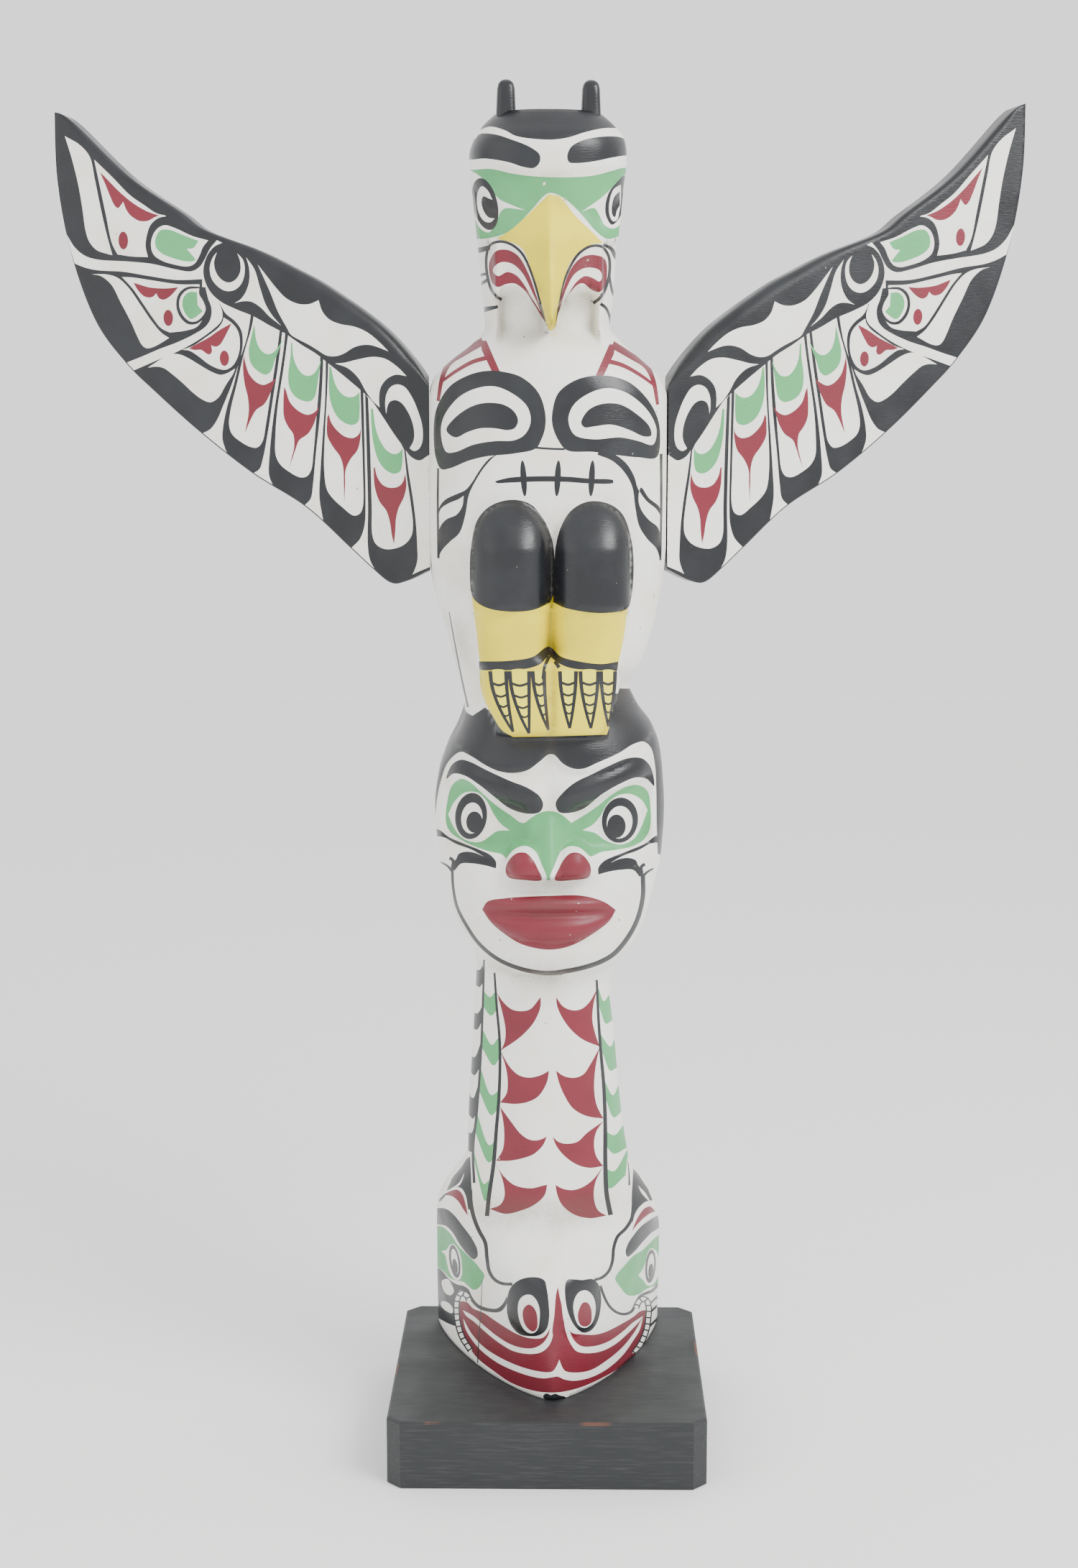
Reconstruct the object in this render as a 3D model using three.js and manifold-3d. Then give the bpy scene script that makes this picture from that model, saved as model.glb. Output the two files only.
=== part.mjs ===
// A carved and painted totem pole: one carved pole with two horns, two board wings fixed to its
// sides and a chamfered plinth. Millimetres, +Z up, the front faces -Y, origin under the plinth.
import * as THREE from 'three';
import { mergeVertices } from 'three/addons/utils/BufferGeometryUtils.js';
import Module from 'manifold-3d';

const wasm = await Module();
wasm.setup();

// ---- Driving dimensions ----
const jointGap = 0.3;
const plinth = { side: 178, height: 38.7, chamfer: 7.8, cornerEase: 1.2 };
const poleTop = 712;
const poleTurn = THREE.MathUtils.degToRad(3.3);
const columns = { front: 38, back: 12 };
const wingSeat = { halfWidth: 66, bottom: 460, top: 570, blend: 4 };
const wing = {
  thickness: 19,
  sweep: THREE.MathUtils.degToRad(10),
  frontAtSeat: -4,
  seatFromSpan: 64,
  edgeEase: 0.8,
  shoulderBevel: 5,
  tipBevel: 2,
  rightTipLift: 8,
  rightReach: 0.99,
};
const horn = { baseWidth: 11.4, topWidth: 9.2, depth: 11, front: -17, bottom: 704, top: 729, round: 3 };
const hornCentres = [-23.8, 22.2];

// Heights of the carved rows: from, to, number of steps.
const rowBands = [
  [0, 36, 2], [36, 66, 3], [66, 96, 5], [96, 124, 3], [124, 228, 4], [228, 238, 2], [238, 252, 3],
  [252, 264, 2], [264, 296, 6], [296, 302, 2], [302, 356, 9], [356, 374, 3], [374, 380, 2],
  [380, 416, 5], [416, 440, 1], [440, 447, 2], [447, 480, 2], [480, 504, 4], [504, 560, 2],
  [560, 584, 3], [584, 600, 3], [600, 648, 9], [648, 684, 5], [684, 704, 3], [704, 712, 3],
];

// Sections of the pole. Height above the plinth, left and right half widths, depth of the widest
// line, depth of the front and of the back, squareness of the front half and of the back half.
const sections = [
  [0, 64.5, 71.0, 70, -58.5, 75, 1.42, 6.0],
  [40, 65.0, 71.5, 68, -60, 75, 1.44, 6.0],
  [60, 65.0, 71.0, 62, -60, 75, 1.48, 6.0],
  [69, 65.0, 69.5, 54, -57.5, 75, 1.55, 5.5],
  [76, 65.0, 68.0, 46, -50, 74, 1.62, 5.0],
  [84, 64.5, 66.0, 36, -41, 73, 1.72, 4.5],
  [92, 62.5, 63.0, 28, -34, 71, 1.85, 4.0],
  [99, 59.0, 58.5, 24, -33, 69, 1.95, 3.6],
  [106, 55.5, 54.5, 20, -33, 66, 2.00, 3.2],
  [115, 49.5, 49.0, 14, -33, 63, 2.05, 3.0],
  [124, 46.5, 47.0, 10, -33, 62, 2.05, 3.0],
  [150, 46.0, 43.0, 9, -32, 60, 2.05, 3.0],
  [190, 43.5, 39.0, 8, -31, 58, 2.05, 3.0],
  [228, 41.5, 36.0, 8, -30, 58, 2.05, 3.0],
  [238, 41.0, 38.0, 7, -31, 59, 2.10, 3.0],
  [243, 41.5, 41.0, 6, -44, 60, 2.20, 3.0],
  [249, 43.0, 46.0, 5, -50, 61, 2.25, 3.0],
  [262, 50.5, 53.5, 5, -53, 62, 2.30, 3.0],
  [283, 58.0, 59.5, 5, -52, 64, 2.35, 3.2],
  [305, 62.5, 64.5, 5, -51, 66, 2.40, 3.4],
  [330, 64.5, 66.0, 5, -50, 68, 2.40, 3.6],
  [350, 62.0, 65.0, 5, -51, 68, 2.35, 3.6],
  [366, 56.5, 63.0, 5, -50, 68, 2.30, 3.6],
  [378, 50.5, 58.5, 5, -47, 68, 2.25, 3.6],
  [390, 47.0, 50.0, 6, -42, 68, 2.20, 3.6],
  [400, 49.5, 46.0, 8, -38, 68, 2.20, 3.6],
  [412, 52.5, 52.0, 9, -39, 68, 2.30, 3.8],
  [430, 57.5, 58.5, 10, -42, 69, 2.40, 4.0],
  [448, 62.5, 62.5, 10, -45, 69, 2.50, 4.0],
  [460, 65.5, 64.5, 10, -46, 70, 2.60, 4.0],
  [480, 66.5, 66.0, 10, -47, 70, 2.70, 4.0],
  [530, 66.5, 66.0, 10, -47, 70, 2.70, 4.0],
  [560, 66.5, 66.0, 10, -45, 69, 2.70, 4.0],
  [570, 64.0, 62.5, 10, -43, 67, 2.60, 3.8],
  [580, 54.5, 52.5, 9, -39, 63, 2.40, 3.4],
  [590, 41.5, 41.0, 7, -35, 57, 2.20, 3.0],
  [598, 35.0, 34.0, 5, -34, 52, 2.20, 2.8],
  [617, 36.5, 36.0, 5, -34, 50, 2.25, 2.8],
  [645, 39.2, 37.5, 4, -34, 50, 2.35, 2.8],
  [664, 41.2, 39.8, 4, -35, 50, 2.40, 2.8],
  [690, 43.6, 42.6, 4, -37, 50, 2.45, 2.8],
  [699, 41.0, 41.2, 4, -35, 48, 2.45, 2.8],
  [706, 36.2, 36.0, 4, -30, 43, 2.45, 2.8],
  [710, 32.0, 31.5, 4, -26, 38, 2.50, 2.8],
  [712, 29.5, 29.0, 4, -24, 35, 2.50, 2.8],
];

// How far the carver's centre line wanders to one side, by height.
const centreLine = [
  [0, 1.4], [110, 0.4], [230, -0.4], [310, -2.0], [440, -0.8], [560, -1.0], [640, -1.8], [712, -0.6],
];

// The beak, by height: how far forward its ridge stands and how steeply its sides fall away.
const beakRidge = [
  [591, 54, 5.0], [597, 59, 3.8], [605, 61, 2.6], [617, 61, 1.75], [628, 59, 1.25],
  [641, 54, 0.86], [652, 47, 0.70], [662, 39, 0.60], [672, 31, 0.58],
];

// ---- Small helpers ----
const clamp = THREE.MathUtils.clamp;

function smooth(low, high, value) {
  const s = clamp((value - low) / (high - low), 0, 1);
  return s * s * (3 - 2 * s);
}

/** A function of height that runs smoothly through one column of a table (monotone cubic). */
function curveThrough(table, column) {
  const count = table.length;
  const rise = [];
  for (let i = 0; i < count - 1; i++) {
    rise.push((table[i + 1][column] - table[i][column]) / (table[i + 1][0] - table[i][0]));
  }
  const tangent = [rise[0]];
  for (let i = 1; i < count - 1; i++) {
    const before = table[i][0] - table[i - 1][0];
    const after = table[i + 1][0] - table[i][0];
    const w1 = 2 * after + before;
    const w2 = after + 2 * before;
    tangent.push(rise[i - 1] * rise[i] > 0 ? (w1 + w2) / (w1 / rise[i - 1] + w2 / rise[i]) : 0);
  }
  tangent.push(rise[count - 2]);
  return (height) => {
    const h = clamp(height, table[0][0], table[count - 1][0]);
    let k = 0;
    while (k < count - 2 && h >= table[k + 1][0]) k++;
    const step = table[k + 1][0] - table[k][0];
    const s = (h - table[k][0]) / step;
    return (1 + 2 * s) * (1 - s) ** 2 * table[k][column] + s * (1 - s) ** 2 * step * tangent[k]
      + s * s * (3 - 2 * s) * table[k + 1][column] + s * s * (s - 1) * step * tangent[k + 1];
  };
}

/** 1 in the middle, 0 at the rim and beyond, round as a pillow. */
function dome(x, z, cx, cz, rx, rz, power = 2) {
  const q = Math.abs((x - cx) / rx) ** power + Math.abs((z - cz) / rz) ** power;
  return Math.sqrt(Math.max(1 - q, 0));
}

/** Root of what is left of 1 after taking q away, never below zero. */
const roundOff = (q) => Math.sqrt(Math.max(1 - q, 0));

const raiseTo = (level, target, share) => level + Math.max(target - level, 0) * share;

const [leftHalf, rightHalf, widestDepth, frontDepth, backDepth, frontSquare, backSquare] =
  [1, 2, 3, 4, 5, 6, 7].map((column) => curveThrough(sections, column));
const centreAt = curveThrough(centreLine, 1);
const beakForward = curveThrough(beakRidge, 1);
const beakFall = curveThrough(beakRidge, 2);

// ---- The carving: how far forward the surface stands, from the plain form upward ----
function birdHead(x, z, plain) {
  const side = Math.abs(x);
  let level = plain;
  // throat hollow under the beak
  level -= 13 * smooth(28, 25, side) * smooth(585, 597, z) * smooth(636, 628, z);
  // cheeks, lips beside the beak with an arch below
  const inner = roundOff((Math.max(19 - side, 0) / 17.5) ** 1.7);
  const arch = 596 + 20.5 * inner - 3 * (Math.max(side - 19, 0) / 8) ** 2;
  const lip = 34.5 + 16 * Math.max(1 - side / 30, 0) ** 2;
  level = raiseTo(level, lip, smooth(arch - 1, arch + 2, z) * smooth(646, 640, z) * smooth(31, 28, side));
  // beak: a ridge with two flat sides, cut off along a hollow curve below
  const beakEdge = 593.5 + 50 * (1 - Math.exp(-side / 10));
  const beak = beakForward(z) - beakFall(z) * (Math.sqrt(side * side + 0.5) - 0.7);
  level = raiseTo(level, beak, smooth(beakEdge - 1, beakEdge + 1, z) * smooth(673, 668, z));
  // brow over the eyes, and the eyes
  level += 2.6 * smooth(675, 679, z - 3.5 * smooth(8, 40, side)) * smooth(704, 695, z);
  return level + 1.5 * dome(side, z, 34, 660, 7, 13);
}

function birdLegs(x, z, plain) {
  let level = plain;
  for (const centre of [-21.9, 21.9]) {
    // thigh: an upright egg, round above
    const rise = clamp((z - 478) / 26.5, 0, 1);
    const top = roundOff(rise * rise);
    const thighHalf = 21.6 * top + 0.01;
    const thighOff = Math.abs(x - centre);
    const thigh = 44 + (20 - 8 * rise) * roundOff((thighOff / thighHalf) ** 2.4) * top;
    level = raiseTo(level, thigh, thighOff < thighHalf ? smooth(441.5, 446.5, z) : 0);
    // shin
    const shinHalf = 19.2 + 1.6 * smooth(416, 446, z);
    const shinOff = Math.abs(x - centre * 0.96);
    const shin = 40 + (18.5 + 2.5 * smooth(425, 446, z)) * roundOff((shinOff / shinHalf) ** 2.6);
    level = raiseTo(level, shin, shinOff < shinHalf ? smooth(408, 416, z) * smooth(448.5, 444.5, z) : 0);
  }
  // the two feet, one block with a groove between them
  const spread = 37.5 - 7.5 * smooth(402, 377, z);
  const foot = 46 + (11.5 + 5.5 * smooth(416, 382, z)) * roundOff((Math.abs(x) / spread) ** 5);
  level = raiseTo(level, foot, Math.abs(x) < spread ? smooth(375.5, 379, z) * smooth(424, 415, z) : 0);
  return level - 3 * Math.exp(-((x / 2.4) ** 2)) * smooth(379, 384, z) * smooth(420, 410, z);
}

function humanFace(x, z, plain) {
  const side = Math.abs(x);
  let level = plain;
  // hair, a cap standing proud of the forehead with its edge in two lobes
  const hairEdge = 357 + 9.5 * Math.exp(-((side / 7) ** 2)) + 0.0085 * Math.max(side - 18, 0) ** 2.05;
  level += 4 * smooth(hairEdge - 1.2, hairEdge + 2.5, z) * smooth(404, 384, z);
  // brow ridge, the eye hollow under it and the eye
  const brow = 336 + 0.34 * Math.max(side - 6, 0);
  level += 4.5 * Math.exp(-(((z - brow - 7) / 8) ** 2)) * smooth(64, 50, side) * smooth(0, 9, side);
  const socket = smooth(brow + 1, brow - 4, z) * smooth(309, 316, z);
  level -= 5.5 * socket * smooth(9, 17, side) * smooth(60, 55, side);
  level += 3 * dome(side, z, 41, 329, 13, 14.5, 2.2);
  // nose: a ridge with flat sides and two nostril domes, cut flat below
  const length = clamp((340 - z) / 40, 0, 1);
  const noseHalf = 7 + 15 * length ** 1.3;
  const ridge = 48 + 16.5 * length ** 0.9;
  const nose = side < noseHalf ? ridge - (ridge - 46) * (side / noseHalf) ** 1.25 : 0;
  const nostril = 46 + 15.5 * dome(side, z, 12.6, 303, 11.4, 15.5, 2.3);
  const noseShare = smooth(297.5, 300.5, z) * smooth(343, 334, z);
  level = raiseTo(level, Math.max(nose, nostril > 46 ? nostril : 0), noseShare);
  // the face falls back between the nose and the mouth
  level -= 2.5 * Math.exp(-(((z - 296) / 6) ** 2)) * smooth(36, 20, side);
  // lips: two full rolls meeting in a deep line
  const swell = Math.max(1 - (side / 37) ** 2.2, 0);
  const upperEdge = 282 + 8 * Math.sqrt(swell);
  const lowerEdge = 280 - 18.5 * swell ** 0.6;
  const parting = 279;
  if (z >= upperEdge || z <= lowerEdge || swell === 0) return level;
  const across = z > parting
    ? (upperEdge - z) / (upperEdge - parting)
    : (z - lowerEdge) / (parting - lowerEdge);
  return level + 7 * Math.sin(Math.PI * clamp(across, 0, 1)) ** 0.6 * Math.sqrt(swell);
}

/** Two nostrils, domes either side of the snout's ridge. */
function beastSnout(x, z, plain) {
  return plain + 2.6 * dome(Math.abs(x), z, 14.5, 55, 12.5, 19, 2.8);
}

/** A point of the carved surface; angle 0 faces the front, a quarter turn faces +X. */
function polePoint(angle, z) {
  const s = Math.sin(angle);
  const c = Math.cos(angle);
  const square = c > 0 ? frontSquare(z) : backSquare(z);
  const reach = (Math.abs(s) ** square + Math.abs(c) ** square) ** (-1 / square);
  const half = s > 0 ? rightHalf(z) : leftHalf(z);
  const depth = c > 0 ? widestDepth(z) - frontDepth(z) : backDepth(z) - widestDepth(z);
  let x = half * s * reach;
  const y = widestDepth(z) - depth * c * reach;
  // flats on the body's sides, where the wings are fixed
  const seat = smooth(wingSeat.bottom - wingSeat.blend, wingSeat.bottom + wingSeat.blend, z)
    * smooth(wingSeat.top + wingSeat.blend, wingSeat.top - wingSeat.blend, z);
  x += seat * (clamp(x, -wingSeat.halfWidth, wingSeat.halfWidth) - x);
  const plain = -y;
  const off = x - centreAt(z);
  let level = plain;
  if (z > 584) level = birdHead(off, z, level);
  if (z > 238 && z <= 405) level = humanFace(off, z, level);
  if (z > 374 && z <= 505) level = birdLegs(off, z, level);
  if (z <= 80) level = beastSnout(off, z, level);
  return [x, -(plain + (level - plain) * smooth(0, 0.3, c)), z];
}

// ---- Solids ----
/** A closed solid from rings of points, each ring level and convex at the two ends. */
function solidFromRings(rings) {
  const count = rings[0].length;
  const points = rings.flat();
  const faces = [];
  for (let j = 0; j < rings.length - 1; j++) {
    for (let i = 0; i < count; i++) {
      const a = j * count + i;
      const b = j * count + (i + 1) % count;
      faces.push(a, b, b + count, a, b + count, a + count);
    }
  }
  for (const [ring, start, up] of [[rings[0], 0, false], [rings.at(-1), (rings.length - 1) * count, true]]) {
    const hub = points.length;
    points.push(ring.reduce((sum, p) => sum.map((v, k) => v + p[k] / count), [0, 0, 0]));
    for (let i = 0; i < count; i++) {
      const a = start + i;
      const b = start + (i + 1) % count;
      faces.push(...(up ? [hub, a, b] : [hub, b, a]));
    }
  }
  const geometry = new THREE.BufferGeometry();
  geometry.setAttribute('position', new THREE.Float32BufferAttribute(points.flat(), 3));
  geometry.setIndex(faces);
  return geometry;
}

function toManifold(geometry) {
  const bare = geometry.clone();
  bare.deleteAttribute('normal');
  bare.deleteAttribute('uv');
  const merged = mergeVertices(bare, 1e-4);
  return new wasm.Manifold(new wasm.Mesh({
    numProp: 3,
    vertProperties: new Float32Array(merged.attributes.position.array),
    triVerts: new Uint32Array(merged.index.array),
  }));
}

function fromManifold(manifold) {
  const mesh = manifold.getMesh();
  const geometry = new THREE.BufferGeometry();
  geometry.setAttribute('position', new THREE.BufferAttribute(new Float32Array(mesh.vertProperties), 3));
  geometry.setIndex(new THREE.BufferAttribute(new Uint32Array(mesh.triVerts), 1));
  return geometry;
}

function columnAngles() {
  const angles = [];
  for (let i = 0; i < columns.front; i++) angles.push(-Math.PI / 2 + Math.PI * i / columns.front);
  for (let i = 0; i < columns.back; i++) angles.push(Math.PI / 2 + Math.PI * i / columns.back);
  return angles;
}

function rowHeights() {
  const heights = rowBands.flatMap(([from, to, steps]) =>
    Array.from({ length: steps }, (_, i) => from + (to - from) * i / steps));
  return [...heights, poleTop];
}

/** A horn: an upright tapered slab with a rounded top, its root sunk in the head. */
function hornSolid(centre) {
  const outline = new THREE.Shape();
  const { baseWidth, topWidth, bottom, top, round } = horn;
  outline.moveTo(-baseWidth / 2, bottom);
  outline.lineTo(baseWidth / 2, bottom);
  outline.lineTo(topWidth / 2, top - round);
  outline.quadraticCurveTo(topWidth / 2, top, topWidth / 2 - round, top);
  outline.lineTo(round - topWidth / 2, top);
  outline.quadraticCurveTo(-topWidth / 2, top, -topWidth / 2, top - round);
  const settings = { depth: horn.depth, bevelEnabled: false, curveSegments: 4 };
  const slab = new THREE.ExtrudeGeometry(outline, settings);
  // stand the outline up: its second axis becomes height, its thickness runs back from the front
  slab.rotateX(Math.PI / 2);
  slab.translate(centre, horn.front + horn.depth, 0);
  return slab;
}

function poleSolid() {
  const angles = columnAngles();
  const body = solidFromRings(rowHeights().map((z) => angles.map((angle) => polePoint(angle, z))));
  let carved = toManifold(body);
  for (const centre of hornCentres) carved = carved.add(toManifold(hornSolid(centre)));
  return fromManifold(carved);
}

// Wing outline as distance along the board from the body, and height.
const leadingEdge = [
  [12, 581], [30, 600], [59, 620.5], [78, 631], [100, 641.5],
  [128, 652], [142, 662], [171.5, 682], [202.5, 711.5],
];
const wingTip = [212, 716.5];
const trailingEdge = [
  [211.5, 680], [205, 640], [192, 603], [175, 579.5], [158, 563], [133, 541], [103, 518],
  [73, 499.5], [48, 477], [36, 466], [25, 457.5], [16, 458.5],
];
const wingRoot = { span: 2.6, top: 567, bottom: 465 };
const wingSteps = { leading: 22, trailing: 34 };

/** Points of the wing's outline; each says how wide its front edge is bevelled. */
function wingOutline(tipLift, reach) {
  const spline = (points, steps) =>
    new THREE.SplineCurve(points.map((p) => new THREE.Vector2(...p))).getPoints(steps);
  const leading = spline([[wingRoot.span, wingRoot.top], ...leadingEdge, wingTip], wingSteps.leading);
  const trailing = spline([wingTip, ...trailingEdge, [wingRoot.span, wingRoot.bottom]], wingSteps.trailing);
  const lifted = (p) => new THREE.Vector2(p.x * reach, p.y + tipLift * Math.max((p.x - 100) / 112, 0) ** 2);
  const bevelAt = (span) => smooth(0, 15, span) * smooth(212, 195, span)
    * (wing.tipBevel + (wing.shoulderBevel - wing.tipBevel) * smooth(120, 60, span));
  return [
    ...leading.map((p) => ({ at: lifted(p), bevel: wing.edgeEase + bevelAt(p.x) })),
    ...trailing.slice(1).map((p) => ({ at: lifted(p), bevel: wing.edgeEase })),
  ];
}

/** A wing board: side is -1 for the left one, +1 for the right one. */
function wingSolid(side, tipLift, reach) {
  const outline = wingOutline(tipLift, reach);
  const tipSpan = wingTip[0] * reach;
  const count = outline.length;
  const seat = wingSeat.halfWidth + jointGap;
  const isRoot = (i) => i === 0 || i === count - 1;
  // a place on the board; short of the seat it slides along the board's face to the body's flat
  const place = (span, z, depth) => {
    const x = wing.seatFromSpan + span * Math.cos(wing.sweep) - depth * Math.sin(wing.sweep);
    const y = wing.frontAtSeat + span * Math.sin(wing.sweep) + depth * Math.cos(wing.sweep);
    if (x > seat) return [side * x, y, z];
    return [side * seat, y + (seat - x) * Math.tan(wing.sweep), z];
  };
  const rings = [0, 1, 2].map((level) => outline.map(({ at, bevel }, i) => {
    const depth = [0, bevel, wing.thickness][level];
    const before = outline[(i + count - 1) % count].at;
    const after = outline[(i + 1) % count].at;
    const inward = isRoot(i)
      ? new THREE.Vector2(0, i === 0 ? -1 : 1)
      : new THREE.Vector2(after.y - before.y, before.x - after.x).normalize();
    // the narrow tip keeps its full outline
    const inset = level === 0 ? bevel * smooth(tipSpan - 1, tipSpan - 12, at.x) : 0;
    const p = at.clone().addScaledVector(inward, inset);
    return place(isRoot(i) ? 0 : p.x, p.y, depth);
  }));
  const flat = rings[0].map(([x, , z]) => new THREE.Vector2(x, z));
  const faces = [];
  for (const [a, b, c] of THREE.ShapeUtils.triangulateShape(flat, [])) {
    const frontward = THREE.ShapeUtils.area([flat[a], flat[b], flat[c]]) > 0 ? [a, b, c] : [a, c, b];
    faces.push(...frontward, ...frontward.map((i) => i + 2 * count).reverse());
  }
  for (let level = 0; level < 2; level++) {
    for (let i = 0; i < count; i++) {
      const here = level * count + i;
      const next = level * count + (i + 1) % count;
      const [a, b] = side > 0 ? [here, next] : [next, here];
      faces.push(a, b, b + count, a, b + count, a + count);
    }
  }
  const geometry = new THREE.BufferGeometry();
  geometry.setAttribute('position', new THREE.Float32BufferAttribute(rings.flat(2), 3));
  geometry.setIndex(faces);
  return geometry;
}

function plinthSolid() {
  const half = plinth.side / 2;
  const square = (h, z) => {
    const e = plinth.cornerEase;
    const quarter = [[h, e - h], [h, h - e], [h - e, h], [e - h, h]];
    return [...quarter, ...quarter.map(([x, y]) => [-x, -y])].map(([x, y]) => [x, y, z]);
  };
  return solidFromRings([
    square(half, 0),
    square(half, plinth.height - plinth.chamfer),
    square(half - plinth.chamfer, plinth.height),
  ]);
}

// ---- The scene graph ----
const paint = (color, roughness) => new THREE.MeshStandardMaterial({ color, roughness, metalness: 0 });

function piece(name, geometry, material) {
  geometry.computeVertexNormals();
  const mesh = new THREE.Mesh(geometry, material);
  mesh.name = name;
  return mesh;
}

const carving = new THREE.Group();
carving.position.z = plinth.height + jointGap;
carving.rotation.z = poleTurn;
carving.add(
  piece('pole', poleSolid(), paint('#ecebe6', 0.45)),
  piece('wing_left', wingSolid(-1, 0, 1), paint('#ecebe6', 0.45)),
  piece('wing_right', wingSolid(1, wing.rightTipLift, wing.rightReach), paint('#ecebe6', 0.45)),
);

const totemPole = new THREE.Group();
totemPole.add(piece('plinth', plinthSolid(), paint('#26282c', 0.4)), carving);

export default totemPole;
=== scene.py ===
"""A carved and painted totem pole: one carved pole, two board wings and a black plinth."""
import math
import bmesh
import bpy
import numpy as np
from mathutils.geometry import delaunay_2d_cdt
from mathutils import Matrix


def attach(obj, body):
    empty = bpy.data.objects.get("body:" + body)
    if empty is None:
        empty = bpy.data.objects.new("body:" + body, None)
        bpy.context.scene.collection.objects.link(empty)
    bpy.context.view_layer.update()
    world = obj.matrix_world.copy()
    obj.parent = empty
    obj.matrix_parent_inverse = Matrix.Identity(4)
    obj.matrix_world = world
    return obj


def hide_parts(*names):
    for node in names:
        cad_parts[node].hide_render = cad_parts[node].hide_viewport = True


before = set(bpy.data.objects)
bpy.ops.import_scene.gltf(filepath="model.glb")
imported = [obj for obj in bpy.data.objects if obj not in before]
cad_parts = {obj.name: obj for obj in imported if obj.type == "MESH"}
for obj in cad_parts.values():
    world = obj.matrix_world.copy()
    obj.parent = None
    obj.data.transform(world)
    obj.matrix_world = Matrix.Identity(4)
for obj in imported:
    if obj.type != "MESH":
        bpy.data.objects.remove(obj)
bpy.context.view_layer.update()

# ---------------------------------------------------------------- sizes, millimetres
MM = 0.001
PLINTH = dict(side=178.0, height=38.7, chamfer=7.8, ease=1.4, step=8.0)
LIFT = 39.0                       # the carving stands on the plinth, with a hair's gap under it
TURN = math.radians(3.3)          # and is set a little round to the right
TOP = 712.0                       # top of the bird's head, above the plinth
SEAT = dict(half=66.0, low=460.0, high=570.0, blend=4.0)
EYE = (12.4, -1311.9, 532.2)      # where the viewer's eye is, above the plinth's top
TILT = 8.2                        # how far the viewer looks down, degrees
SWING = 0.777                     # and round to the left, degrees
ROUND = 60.0                      # millimetres of paint that go once round one radian of the pole
BACK_PANEL = 128                  # degrees from the front at which the black back begins
SIGHT = (-72.0, 76.0, 1.5)        # where a line of sight is tried, front to back, and how closely
FINE = 1.9                        # spacing of the surface's points where there is painting
COARSE = 4.0                      # and behind, where there is none
LEVELS = 357                      # rows of points up the pole
PAINTED = 105.0                   # how far round the fine points reach, in opened-out millimetres
EDGE = 2.2                        # longest side of a painted outline once it is laid on the wood
CLEAR = 0.9                       # how near an outline no other point may stand
WELD = 1e-5                       # metres

# ---------------------------------------------------------------- the carved form
# height, left and right half widths, depth of the widest line, front, back, squareness front, back
SECTIONS = np.array([
    (0, 64.5, 71.0, 70, -58.5, 75, 1.42, 6.0),
    (40, 65.0, 71.5, 68, -60, 75, 1.44, 6.0),
    (60, 65.0, 71.0, 62, -60, 75, 1.48, 6.0),
    (69, 65.0, 69.5, 54, -57.5, 75, 1.55, 5.5),
    (76, 65.0, 68.0, 46, -50, 74, 1.62, 5.0),
    (84, 64.5, 66.0, 36, -41, 73, 1.72, 4.5),
    (92, 62.5, 63.0, 28, -34, 71, 1.85, 4.0),
    (99, 59.0, 58.5, 24, -33, 69, 1.95, 3.6),
    (106, 55.5, 54.5, 20, -33, 66, 2.00, 3.2),
    (115, 49.5, 49.0, 14, -33, 63, 2.05, 3.0),
    (124, 46.5, 47.0, 10, -33, 62, 2.05, 3.0),
    (150, 46.0, 43.0, 9, -32, 60, 2.05, 3.0),
    (190, 43.5, 39.0, 8, -31, 58, 2.05, 3.0),
    (228, 41.5, 36.0, 8, -30, 58, 2.05, 3.0),
    (238, 41.0, 38.0, 7, -31, 59, 2.10, 3.0),
    (243, 41.5, 41.0, 6, -44, 60, 2.20, 3.0),
    (249, 43.0, 46.0, 5, -50, 61, 2.25, 3.0),
    (262, 50.5, 53.5, 5, -53, 62, 2.30, 3.0),
    (283, 58.0, 59.5, 5, -52, 64, 2.35, 3.2),
    (305, 62.5, 64.5, 5, -51, 66, 2.40, 3.4),
    (330, 64.5, 66.0, 5, -50, 68, 2.40, 3.6),
    (350, 62.0, 65.0, 5, -51, 68, 2.35, 3.6),
    (366, 56.5, 63.0, 5, -50, 68, 2.30, 3.6),
    (378, 50.5, 58.5, 5, -47, 68, 2.25, 3.6),
    (390, 47.0, 50.0, 6, -42, 68, 2.20, 3.6),
    (400, 49.5, 46.0, 8, -38, 68, 2.20, 3.6),
    (412, 52.5, 52.0, 9, -39, 68, 2.30, 3.8),
    (430, 57.5, 58.5, 10, -42, 69, 2.40, 4.0),
    (448, 62.5, 62.5, 10, -45, 69, 2.50, 4.0),
    (460, 65.5, 64.5, 10, -46, 70, 2.60, 4.0),
    (480, 66.5, 66.0, 10, -47, 70, 2.70, 4.0),
    (530, 66.5, 66.0, 10, -47, 70, 2.70, 4.0),
    (560, 66.5, 66.0, 10, -45, 69, 2.70, 4.0),
    (570, 64.0, 62.5, 10, -43, 67, 2.60, 3.8),
    (580, 54.5, 52.5, 9, -39, 63, 2.40, 3.4),
    (590, 41.5, 41.0, 7, -35, 57, 2.20, 3.0),
    (598, 35.0, 34.0, 5, -34, 52, 2.20, 2.8),
    (617, 36.5, 36.0, 5, -34, 50, 2.25, 2.8),
    (645, 39.2, 37.5, 4, -34, 50, 2.35, 2.8),
    (664, 41.2, 39.8, 4, -35, 50, 2.40, 2.8),
    (690, 43.6, 42.6, 4, -37, 50, 2.45, 2.8),
    (699, 41.0, 41.2, 4, -35, 48, 2.45, 2.8),
    (706, 36.2, 36.0, 4, -30, 43, 2.45, 2.8),
    (710, 32.0, 31.5, 4, -26, 38, 2.50, 2.8),
    (712, 29.5, 29.0, 4, -24, 35, 2.50, 2.8),
])
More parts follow.
